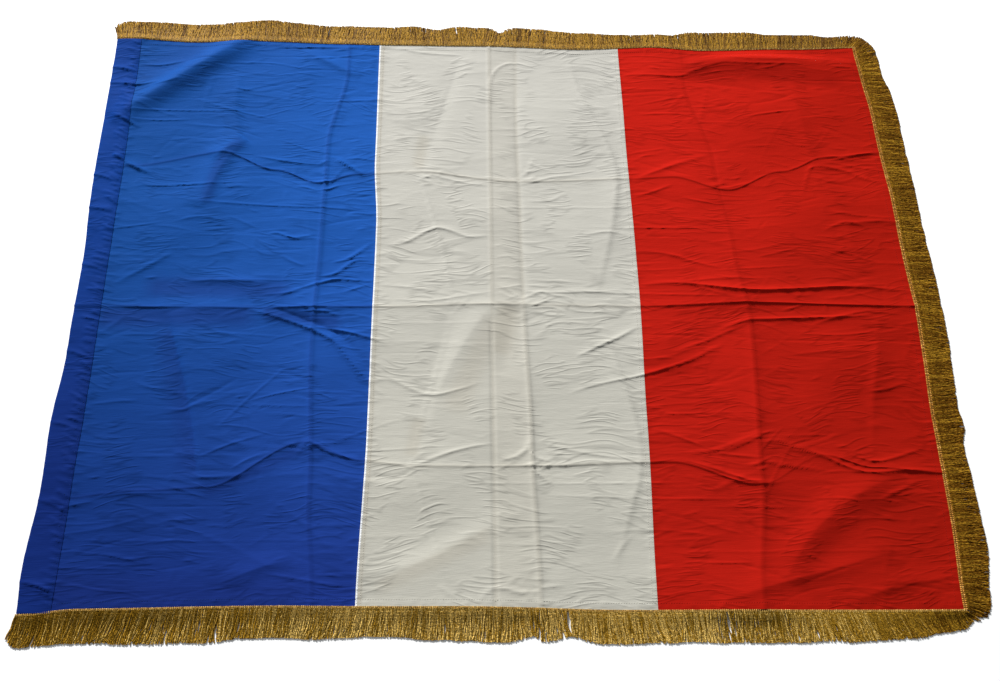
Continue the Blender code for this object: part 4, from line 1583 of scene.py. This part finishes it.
def sheet_faces(rows: int, columns: int) -> list[tuple[int, ...]]:
    """The faces of a closed sheet: a fine upper side, a coarse lower side and a rim.

    Args:
        rows: The fine grid's rows.
        columns: The fine grid's columns.

    Returns:
        The faces, with the upper side's points numbered first.
    """
    fine = np.arange(rows * columns).reshape(rows, columns)
    coarse_rows = (rows - 1) // COARSE + 1
    coarse_columns = (columns - 1) // COARSE + 1
    coarse = fine.size + np.arange(coarse_rows * coarse_columns).reshape(coarse_rows, coarse_columns)
    faces = quads_of(fine) + [(a, d, c, b) for a, b, c, d in quads_of(coarse)]
    for turns in range(4):
        fine_side = np.rot90(fine, turns)[0].tolist()
        coarse_side = np.rot90(coarse, turns)[0].tolist()
        for k in range(len(coarse_side) - 1):
            above = fine_side[k * COARSE:(k + 1) * COARSE + 1]
            faces.append((coarse_side[k], coarse_side[k + 1], *reversed(above)))
    return faces


@dataclass
class Panel:
    """One colour of the flag: a sheet that lies on its bed in folds and wrinkles.

    Attributes:
        name: The piece's name.
        node: The solid that it stands for.
        slot: The name of its finish in the record. Not used.
        uprights: The seams and folds that its grid follows, from the hoist side.
        silk: Its finish.
        relief: The height of the cloth.
        steps: The steps of its grid, across the flag and up it.
        thin: The cloth's thickness.
        lowest: The least height of its lower side.
        room: The gap between it and its neighbours.
    """

    name: str
    node: str
    slot: str
    uprights: tuple[Line, ...]
    silk: Silk
    relief: Relief
    steps: tuple[float, float] = (0.0046, 0.0018)
    thin: float = 0.0006
    lowest: float = 0.0002
    room: float = 0.0001

    def mesh(self) -> bpy.types.Mesh:
        """Builds the sheet, with the cloth's own coordinates stored on it, and how far it takes its worn and
        painted-shade colour.

        Returns:
            Its mesh, closed all round.
        """
        first, *between, last = self.uprights
        x, y = woven_grid((first.moved(self.room), *between, last.moved(-self.room)), LEVELS, self.steps)
        top = self.relief.top(x, y)
        bottom = np.maximum(lowest_near(top) - self.thin, self.lowest)
        upper = np.stack((x, y, top), axis=-1).reshape(-1, 3)
        lower = np.stack((x[::COARSE, ::COARSE], y[::COARSE, ::COARSE], bottom), axis=-1).reshape(-1, 3)
        points = np.concatenate((upper, lower))
        mesh = plain_mesh(self.name, points, [], sheet_faces(*x.shape))
        x, y = points[:, 0], points[:, 1]
        corners = np.empty(len(mesh.loops), np.int32)
        mesh.loops.foreach_get("vertex_index", corners)
        cloth = np.stack((x - first.at(y), y - BOTTOM_Y.at(x)), axis=-1)
        mesh.uv_layers.new(name="cloth").data.foreach_set("uv", cloth[corners].ravel())
        store(mesh, "wear_and_shade", self.relief.wear_and_shade(x, y))
        mesh.shade_smooth()
        mesh.set_sharp_from_angle(angle=SHARP_EDGE)
        return mesh

    def build(self, goes_with: list[Piece]) -> Piece:
        """Builds and dresses the panel.

        Args:
            goes_with: The pieces sewn to it. Not used.

        Returns:
            The panel.
        """
        obj = new_object(self.name, self.mesh())
        obj.data.materials.append(self.silk.material())
        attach(obj, BODY)
        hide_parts(self.node)
        middle = 0.0
        width = float(self.uprights[-1].at(middle) - self.uprights[0].at(middle))
        length = float(TOP_Y.at(middle) - BOTTOM_Y.at(middle))
        report(obj)
        return obj


@dataclass
class PoleSleeve:
    """The sleeve for the pole: a strip folded in two along the hoist and pressed flat.

    Attributes:
        relief: The height of the cloth.
        silk: Its finish.
        middle: The middle of its width, across the flag.
        overlap: How far the sleeve laps over the blue panel.
        lap: How much higher than the panel it lies there.
        swell: How far the empty tunnel stands up.
        lowest: The height of the middle of its lower layer.
        thin: The cloth's thickness.
        step: The step of its grid up the flag.
        across: The points across its upper layer.
        under: How many of those steps one step of its lower layer takes.
        turn: The points round the fold.
    """

    relief: Relief
    silk: Silk
    middle: float = -0.78
    overlap: float = 0.002
    lap: float = 0.0005
    swell: float = 0.0009
    lowest: float = 0.0005
    thin: float = 0.0005
    step: float = 0.0025
    across: int = 17
    under: int = 4
    turn: int = 5

    def sections(self, y: Array) -> Array:
        """The strip's middle line across the flag at each height.

        Args:
            y: The places up the flag.

        Returns:
            For each place, points from the seam round the fold and back.
        """
        seam = SLEEVE_X.at(y) + self.overlap
        fold = HOIST_X.at(y) + 0.0015
        share = np.linspace(0, 1, self.across)
        x = seam[:, None] + (fold - seam)[:, None] * share
        rise = self.swell * np.sin(math.pi * share ** 0.7)
        z = self.relief.top(x, np.broadcast_to(y[:, None], x.shape)) + self.lap + rise
        down = z[:, -1:] - self.lowest
        angle = np.linspace(0, math.pi, self.turn + 2)[1:-1]
        round_x = fold[:, None] - np.sin(angle) * down / 2
        round_z = self.lowest + down / 2 + np.cos(angle) * down / 2
        back = x[:, ::-self.under]
        across = np.concatenate((x, round_x, back), axis=1)
        height = np.concatenate((z, round_z, np.full_like(back, self.lowest)), axis=1)
        return np.stack((across, np.broadcast_to(y[:, None], across.shape), height), axis=-1)

    def build(self, goes_with: list[Piece]) -> Piece:
        """Builds and dresses the sleeve.

        Args:
            goes_with: The pieces sewn to it. Not used.

        Returns:
            The sleeve.
        """
        low = float(BOTTOM_Y.at(self.middle))
        high = float(TOP_Y.at(self.middle))
        points = self.sections(np.linspace(low, high, round((high - low) / self.step)))
        rows, wide = points.shape[:2]
        from_fly = np.arange(rows * wide).reshape(rows, wide)[:, ::-1]
        mesh = plain_mesh("pole_sleeve", points.reshape(-1, 3), [], quads_of(from_fly))
        mesh.shade_smooth()
        obj = new_object("pole_sleeve", mesh)
        solidify = obj.modifiers.new("cloth", "SOLIDIFY")
        solidify.thickness = self.thin
        solidify.offset = 0.0
        apply_modifier(obj, solidify)
        obj.data.set_sharp_from_angle(angle=SHARP_EDGE)
        obj.data.materials.append(self.silk.material())
        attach(obj, BODY)
        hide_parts("hoist_sleeve")
        width = 2 * float(SLEEVE_X.at(0.0) - HOIST_X.at(0.0)) + 2 * self.overlap
        report(obj)
        return obj


# Sewing


@dataclass
class Stitching:
    """Rows of stitches in one colour of thread.

    Attributes:
        name: The piece's name.
        slot: The name of its finish in the record. Not used.
        thread: Its thread.
        rows: The points of each row, over the cloth.
        pitch: The room from stitch to stitch.
        length: A stitch's length.
        width: A stitch's width.
    """

    name: str
    slot: str
    thread: Thread
    rows: list[Array]
    pitch: float = 0.0044
    length: float = 0.0030
    width: float = 0.0007

    def build(self) -> Piece:
        """Sews the rows.

        Returns:
            The stitches.
        """
        tree = GeometryTree(self.name)
        curve = tree.curve(tree.size("Pitch", self.pitch))
        grain = tree.bead(tree.size("Length", self.length), tree.size("Width", self.width))
        stitches = tree.placed(curve, grain, Rotation=tree.along_line())
        obj = tree.grow(lines_object(self.name, self.rows), stitches, self.thread.material())
        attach(obj, BODY)
        report(obj)
        return obj


class Direction(Enum):
    """Which way a row of sewing runs."""

    UP = "up the flag"
    ACROSS = "across the flag"


ROW_STEP = 0.004


def row_on(relief: Relief, line: Line, way: Direction, start: float, end: float, lift: float) -> Array:
    """The points of a row that follows a line over the cloth.

    Args:
        relief: The height of the cloth.
        line: The line that it follows.
        way: Which way the line runs.
        start: Where the row starts along the line.
        end: Where it ends.
        lift: How far above the cloth it is.

    Returns:
        The points, one row each.
    """
    along = np.linspace(start, end, max(2, round(abs(end - start) / ROW_STEP)))
    off = line.at(along)
    x, y = (off, along) if way is Direction.UP else (along, off)
    return np.stack((x, y, relief.top(x, y) + lift), axis=-1)


# The fringe and its braid


@dataclass(frozen=True)
class FringeSide:
    """One side of the fringe.

    Attributes:
        name: The side's name.
        node: The solid that it stands for.
        edge: The edge of the cloth.
        way: Which way that edge runs.
        facing: The direction straight out from the cloth, in degrees from +X.
        start: Where it starts along the edge.
        end: Where it ends.
        reach: How far out the strands come at each place.
        lean: How far they lean, in degrees, clockwise seen from above.
        thin: The share of strands that are lost at each place.
        painted_brightness: How bright the gold is painted at each place, from 0 to 1: painted light, darker
            where less light falls, most of all towards and along the fly.
        braid_width: The width of the braid that heads it.
        heading: The braid's finish.
    """

    name: str
    node: str
    edge: Line
    way: Direction
    facing: float
    start: float
    end: float
    reach: Line
    lean: Line
    thin: Line
    painted_brightness: Line
    braid_width: float = 0.0040
    heading: Bullion = DULL_BRAID


TOP_SIDE = FringeSide(
    "top", "fringe_top", TOP_Y, Direction.ACROSS, 90.0, -0.803, 0.803,
    reach=traced(
        (-803, 36), (-797, 44), (-788, 51), (-640, 53), (-475, 60), (-340, 53), (-240, 52), (-165, 55),
        (-120, 46), (-65, 56), (-10, 54), (12, 40), (55, 56), (200, 49), (300, 38), (390, 39), (440, 53),
        (560, 52), (600, 42), (700, 41), (750, 34), (770, 34), (785, 39), (796, 40), (803, 36),
    ),
    lean=varying(
        (-803, -15.0), (-785, -9.0), (-760, -3.0), (-640, 4.0), (-450, -6.0), (-300, 6.0), (-100, -3.0),
        (100, 7.0), (300, -4.0), (500, 6.0), (755, 8.0), (799, 50.0),
    ),
    thin=varying((-803, 0.0), (-500, 0.05), (0, 0.1), (200, 0.0), (350, 0.15), (799, 0.05)),
    painted_brightness=varying((-803, 0.34), (350, 0.34), (500, 0.22), (799, 0.08)),
)
FLY_SIDE = FringeSide(
    "fly", "fringe_fly", FLY_X, Direction.UP, 0.0, -0.602, 0.606,
    reach=traced(
        (-602, 42), (-596, 48), (-585, 53), (-500, 60), (-400, 56), (-300, 53), (-270, 60), (-240, 56),
        (-100, 57), (60, 57), (300, 58), (440, 60), (560, 52), (590, 49), (606, 38),
    ),
    lean=varying(
        (-602, 13.0), (-585, 5.0), (-450, -3.0), (-250, -5.0), (0, 4.0), (200, -5.0), (400, 3.0),
        (500, -3.0), (570, -18.0), (606, -46.0),
    ),
    thin=varying((-600, 0.0), (602, 0.0)),
    painted_brightness=varying((-600, 0.06), (0, 0.09), (602, 0.06)),
    braid_width=0.0078,
    heading=BRAID_GOLD,
)
BOTTOM_SIDE = FringeSide(
    "bottom", "fringe_bottom", BOTTOM_Y, Direction.ACROSS, -90.0, -0.802, 0.807,
    reach=traced(
        (-802, 39), (-796, 47), (-786, 55), (-700, 55), (-500, 59), (-380, 52), (-300, 54), (-220, 51),
        (-170, 50), (-100, 56), (15, 59), (60, 46), (80, 56), (120, 45), (180, 57), (300, 53), (455, 55),
        (600, 51), (700, 46), (760, 37), (780, 34), (793, 35), (798, 26), (802, 23), (807, 32),
    ),
    lean=varying(
        (-802, 9.0), (-780, 9.0), (-740, 12.0), (-600, 18.0), (-450, 6.0), (-300, 10.0), (-100, 2.0),
        (100, -6.0), (300, -12.0), (450, -6.0), (620, -22.0), (760, -26.0), (780, -20.0), (790, -14.0),
        (807, -76.0),
    ),
    thin=varying(
        (-802, 0.05), (-640, 0.1), (-610, 0.45), (-580, 0.1), (-490, 0.35), (-440, 0.35), (-400, 0.0),
        (-100, 0.05), (45, 0.1), (65, 0.55), (85, 0.1), (115, 0.5), (150, 0.0), (330, 0.1), (370, 0.45),
        (430, 0.45), (460, 0.1), (500, 0.4), (540, 0.1), (803, 0.0),
    ),
    painted_brightness=varying((-802, 0.52), (-550, 0.66), (-250, 0.86), (250, 0.84), (600, 0.64), (803, 0.3)),
)


@dataclass
class Fringe:
    """One side of the bullion fringe: its strands and the braid that heads them.

    Attributes:
        side: Which side, and its outline.
        strands: The strands' finish.
        relief: The height of the cloth.
        spacing: The room between the points of the lines that it hangs from.
        pitch: The room from strand to strand.
        radius: A strand's radius.
        sway: How far whole locks of strands lean, in radians.
        stray: How far single strands lean, in radians.
        curl: How far a strand's end bends to the side.
        wobble: How far it winds from side to side.
        pile: How deep the strands lie on each other.
        flare: How much thicker a strand is at its end than at its root.
        press: How much of the strands' height is pressed out of them at their ends.
        drop: How far the braid's lower side is below the cloth's upper side.
        highest: How high that may be.
        braid_thick: The braid's thickness.
        braid_pitch: The room from plait to plait.
        seed: The seed of the random draws.
    """

    side: FringeSide
    strands: bpy.types.Material
    relief: Relief
    spacing: float = 0.008
    pitch: float = 0.00062
    radius: float = 0.00115
    sway: float = 0.04
    stray: float = 0.13
    curl: float = 0.08
    wobble: float = 0.0012
    pile: float = 0.0017
    flare: float = 0.28
    press: float = 0.50
    drop: float = 0.0016
    highest: float = 0.006
    braid_thick: float = 0.0022
    braid_pitch: float = 0.0034
    seed: int = 3

    def edge_run(self, out: float, lift: float) -> tuple[Array, Array]:
        """Points beside the cloth's edge.

        Args:
            out: How far outside the edge they are.
            lift: How high they are above the surface below.

        Returns:
            The points, and the place of each along the edge.
        """
        side = self.side
        along = np.linspace(side.start, side.end, round((side.end - side.start) / self.spacing))
        off = side.edge.at(along)
        x, y = (along, off) if side.way is Direction.ACROSS else (off, along)
        facing = math.radians(side.facing)
        bed = np.clip(self.relief.top(x, y) - self.drop, 0.0, self.highest)
        points = np.stack((x + out * math.cos(facing), y + out * math.sin(facing), bed + lift), axis=-1)
        return points, along

    def fringe(self) -> Piece:
        """Hangs the strands.

        Returns:
            The strands.
        """
        side = self.side
        out = 0.8 * side.braid_width
        points, along = self.edge_run(out, self.braid_thick)
        lean = side.lean.at(along)
        reach = side.reach.at(along) / np.cos(np.radians(np.minimum(np.abs(lean), 25)))
        values = {
            "facing": np.radians(side.facing - lean), "reach": reach - out,
            "thin": side.thin.at(along), "painted_brightness": side.painted_brightness.at(along),
        }
        name = "bullion_" + side.name
        tree = GeometryTree(name)
        curve = self.draw_strands(tree, tree.curve(tree.size("Pitch", self.pitch)))
        line = tree.output("GeometryNodeCurvePrimitiveLine", {"End": (1.0, 0.0, 0.0)})
        line = tree.output("GeometryNodeResampleCurve", {"Curve": line, "Count": 8})
        line = tree.keep(line, "share", tree.spline("Factor"))
        stays = tree.math("GREATER_THAN", tree.chance(0.0, 1.0, self.seed + 1), tree.kept("thin"))
        strands = tree.realized(tree.placed(curve, line, Selection=stays))
        strands = tree.moved(strands, Position=self.strand_path(tree))
        strands = tree.keep(strands, "along", tree.spline("Length"))
        ring = tree.circle(3, tree.size("Radius", self.radius))
        ring = tree.keep(ring, "round", tree.vector("NORMALIZE", tree.position()), "FLOAT_VECTOR")
        tubes = tree.tube(strands, ring, tree.math("MULTIPLY_ADD", tree.kept("share"), self.flare, 1.0))
        low = tree.times(tree.spread(tree.kept("share"), 0.2, 1.0, 0.0, -1.0), self.press)
        sink = tree.vector("MULTIPLY", tree.position(), tree.joined(0.0, 0.0, low))
        return tree.grow(lines_object(name, [points], values), tree.moved(tubes, Offset=sink), self.strands)

    def draw_strands(self, tree: GeometryTree, curve: Any) -> Socket:
        """Gives each strand its own root, lean, length, tone and bend.

        Args:
            tree: The tree that the strands grow in.
            curve: The line of roots.

        Returns:
            The roots, with those values stored on them.
        """
        place = tree.spline("Length")
        sway = tree.times(tree.waves(place, 0.075, self.seed * 7.0), tree.size("Sway", self.sway))
        broad = tree.times(tree.waves(place, 0.25, self.seed * 3.0), self.sway * 0.8)
        index = tree.output("GeometryNodeInputIndex")
        spread = tree.spread(tree.math("FRACT", tree.times(index, GOLDEN_SHARE)), 0.0, 1.0, -1.0, 1.0)
        stray = tree.times(spread, tree.size("Stray", self.stray))
        heading = tree.math("ADD", tree.math("ADD", sway, broad), tree.math("ADD", stray, tree.kept("facing")))
        longer = tree.times(tree.waves(place, 0.045, self.seed * 5.0), 0.025)
        longer = tree.math("ADD", longer, tree.chance(0.975, 1.0, self.seed + 3))
        bend = tree.times(tree.chance(-1.0, 1.0, self.seed + 6), tree.size("Curl", self.curl))
        lock_bend = tree.times(tree.waves(place, 0.05, self.seed * 11.0), self.curl)
        values = {
            "heading": heading,
            "length": tree.times(tree.kept("reach"), longer),
            # tone: the side's painted light, plus a random tone for each strand.
            "tone": tree.math("ADD", tree.kept("painted_brightness"), tree.chance(-0.35, 0.35, self.seed + 4)),
            "rest": tree.times(tree.chance(0.0, 1.0, self.seed + 5), tree.size("Pile", self.pile)),
            "bend": tree.math("ADD", bend, lock_bend),
        }
        for name, value in values.items():
            curve = tree.keep(curve, name, value)
        return tree.keep(curve, "root", tree.position(), "FLOAT_VECTOR")

    def strand_path(self, tree: GeometryTree) -> Socket:
        """Where each point of a strand lies: out from its root, bending to a side, and down.

        Args:
            tree: The tree that the strands grow in.

        Returns:
            The position of each point.
        """
        share = tree.kept("share")
        out = tree.times(tree.kept("length"), share)
        aside = tree.times(tree.times(out, share), tree.kept("bend"))
        wound = tree.math("SINE", tree.math("MULTIPLY_ADD", share, 10.0, tree.times(tree.kept("tone"), 40.0)))
        aside = tree.math("ADD", aside, tree.times(tree.times(wound, share), self.wobble))
        cosine = tree.math("COSINE", tree.kept("heading"))
        sine = tree.math("SINE", tree.kept("heading"))
        move_x = tree.math("SUBTRACT", tree.times(cosine, out), tree.times(sine, aside))
        move_y = tree.math("ADD", tree.times(sine, out), tree.times(cosine, aside))
        x, y, z = tree.split(tree.kept("root", "FLOAT_VECTOR"))
        down = tree.spread(share, 0.0, 0.55, 0.0, 1.0)
        rest = tree.math("ADD", tree.kept("rest"), self.radius * (1 + self.flare))
        fall = tree.times(tree.math("SUBTRACT", rest, z), down)
        return tree.joined(tree.math("ADD", x, move_x), tree.math("ADD", y, move_y), tree.math("ADD", z, fall))

    def braid(self) -> Piece:
        """Plaits the braid that heads the strands.

        Returns:
            The braid.
        """
        side = self.side
        points, _ = self.edge_run(side.braid_width / 2 + 0.0001, self.braid_thick / 2 + 0.0002)
        name = "braid_" + side.name
        tree = GeometryTree(name)
        width = tree.size("Width", side.braid_width)
        thick = tree.size("Thickness", self.braid_thick)
        pitch = tree.size("Pitch", self.braid_pitch)
        curve = tree.curve(pitch)
        oval = tree.joined(tree.times(width, 0.96), tree.times(thick, 0.75), 1.0)
        core = tree.tube(curve, tree.resized(tree.circle(8, 0.5), oval))
        grain = tree.bead(tree.times(width, 0.62), tree.times(pitch, 0.95))
        joined = tree.node("GeometryNodeJoinGeometry", {0: core})
        tangent = tree.output("GeometryNodeInputTangent")
        aside = tree.vector("CROSS_PRODUCT", (0.0, 0.0, 1.0), tangent)
        up = (0.0, 0.0, self.braid_thick * 0.28)
        for way, turn in ((1.0, 0.8), (-1.0, -0.8)):
            shift = tree.scaled(aside, tree.times(width, 0.24 * way))
            row = tree.moved(curve, Offset=tree.vector("ADD", shift, up))
            row = tree.keep(row, "tone", tree.chance(0.2, 1.0, self.seed + 9))
            plaits = tree.placed(row, grain, Rotation=tree.along_line(turn))
            tree.tree.links.new(plaits, joined.inputs[0])
        return tree.grow(lines_object(name, [points]), joined.outputs[0], side.heading.material())

    def build(self) -> list[Piece]:
        """Builds and dresses this side.

        Returns:
            Its strands and its braid.
        """
        strands = self.fringe()
        braid = self.braid()
        for obj in (strands, braid):
            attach(obj, BODY)
            report(obj)
        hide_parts(self.side.node)
        return [strands, braid]


# The studio


@dataclass(frozen=True)
class Studio:
    """A pale floor, soft light from beyond the flag's top, and the camera that looks down on it.

    Attributes:
        camera_at: Where the camera stands.
        camera_turn: How it is turned, in degrees.
        lens: Its focal length in millimetres.
        sight: How far it sees.
        key_at: Where the large soft light stands.
        key_size: Its width and height.
        key_power: Its power in watts.
        sky: The colour of the light from all round.
        sky_strength: Its strength.
        floor_size: The floor's side.
        floor_colour: The floor's colour.
    """

    camera_at: tuple[float, float, float] = (-0.0843, -0.8424, 1.7160)
    camera_turn: tuple[float, float, float] = (23.3837, -1.8781, -0.6958)
    lens: float = 35.435
    sight: float = 50.0
    key_at: tuple[float, float, float] = (-4.2, 8.6, 4.5)
    key_size: tuple[float, float] = (2.6, 1.8)
    key_power: float = 2600.0
    sky: Colour = (0.93, 0.97, 1.0)
    sky_strength: float = 0.30
    floor_size: float = 14.0
    floor_colour: Colour = (0.96, 0.96, 0.96)

    def build(self) -> None:
        """Sets up the floor, the lights and the camera."""
        scene = bpy.context.scene
        scene.view_settings.view_transform = "Standard"
        camera = bpy.data.cameras.new("camera")
        camera.lens = self.lens
        camera.clip_end = self.sight
        stand = new_object("camera", camera)
        stand.location = self.camera_at
        stand.rotation_euler = Euler(tuple(math.radians(turn) for turn in self.camera_turn))
        scene.camera = stand
        lamp = bpy.data.lights.new("key_light", "AREA")
        lamp.shape = "RECTANGLE"
        lamp.size, lamp.size_y = self.key_size
        lamp.energy = self.key_power
        light = new_object("key_light", lamp)
        light.location = self.key_at
        light.rotation_euler = (-Vector(self.key_at)).to_track_quat("-Z", "Y").to_euler()
        world = bpy.data.worlds.new("sky")
        world.use_nodes = True
        glow = {"Color": solid(self.sky), "Strength": self.sky_strength}
        Graph(world.node_tree).fill(world.node_tree.nodes["Background"], glow)
        scene.world = world
        self.floor()

    def floor(self) -> None:
        """Lays the floor just below the flag."""
        half = self.floor_size / 2
        corners = [(-half, -half, 0), (half, -half, 0), (half, half, 0), (-half, half, 0)]
        mesh = bpy.data.meshes.new("floor")
        mesh.from_pydata(corners, [], [(0, 1, 2, 3)])
        paint, graph, shader = new_finish("floor")
        matt = {"Base Color": solid(self.floor_colour), "Roughness": 0.9, "Specular IOR Level": 0.0}
        graph.fill(shader, matt)
        mesh.materials.append(paint)
        new_object("floor", mesh)


# The whole flag


def sew(relief: Relief) -> dict[str, Piece]:
    """Sews the seams and hems.

    Args:
        relief: The height of the cloth.

    Returns:
        The stitches in each colour of thread, by name.
    """
    up = Direction.UP
    across = Direction.ACROSS
    over = 0.0001
    ends = (-0.588, 0.590)
    bottom = BOTTOM_Y.moved(relief.hem)
    top = TOP_Y.moved(-relief.hem)
    sewing = (
        ("stitches_blue", "blue_silk", BLUE_THREAD, (
            (SLEEVE_X.moved(-0.0015), up, *ends, PoleSleeve.lap + over * 4),
            (SLEEVE_X.moved(-0.0075), up, *ends, PoleSleeve.lap + over * 6),
            (bottom, across, -0.742, -0.240, over),
            (top, across, -0.752, -0.246, over),
        )),
        ("stitches_white", "white_silk", WHITE_THREAD, (
            (BLUE_WHITE_X.moved(0.0085), up, *ends, over),
            (BLUE_WHITE_X.moved(0.0022), up, *ends, over),
            (WHITE_RED_X.moved(-0.0022), up, *ends, over),
            (WHITE_RED_X.moved(-0.0085), up, *ends, over),
            (bottom, across, -0.232, 0.270, over),
            (top, across, -0.234, 0.272, over),
        )),
        ("stitches_red", "red_silk", RED_THREAD, (
            (bottom, across, 0.281, 0.790, over),
            (top, across, 0.283, 0.785, over),
            (FLY_X.moved(-relief.hem), up, *ends, over),
        )),
    )
    stitches = {}
    for name, slot, thread, rows in sewing:
        points = [row_on(relief, *row) for row in rows]
        stitches[name] = Stitching(name, slot, thread, points).build()
    return stitches


def main() -> None:
    """Builds the flag and the studio."""
    logging.basicConfig(level=logging.INFO, format="%(name)s: %(message)s")
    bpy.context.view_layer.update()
    relief = Relief()
    strands = FRINGE_GOLD.material()
    fringe = []
    for side in (TOP_SIDE, FLY_SIDE, BOTTOM_SIDE):
        fringe += Fringe(side, strands, relief).build()
    stitches = sew(relief)
    blue_lines = (SLEEVE_X.moved(-0.006), BLUE_FOLD_X, BLUE_WHITE_X)
    white_lines = (BLUE_WHITE_X, MIDDLE_FOLD_X, STRIP_FOLD_X, WHITE_RED_X)
    red_lines = (WHITE_RED_X, RED_FOLD_X, FLY_X.moved(0.0004))
    blue = Panel("cloth_blue", "panel_blue", "blue_silk", blue_lines, BLUE_SILK, relief)
    white = Panel("cloth_white", "panel_white", "white_silk", white_lines, WHITE_SILK, relief)
    red = Panel("cloth_red", "panel_red", "red_silk", red_lines, RED_SILK, relief)
    blue.build([stitches["stitches_blue"], *fringe])
    white.build([stitches["stitches_white"]])
    red.build([stitches["stitches_red"]])
    PoleSleeve(relief, SLEEVE_SILK).build([])
    Studio().build()


if __name__ == "__main__":
    main()
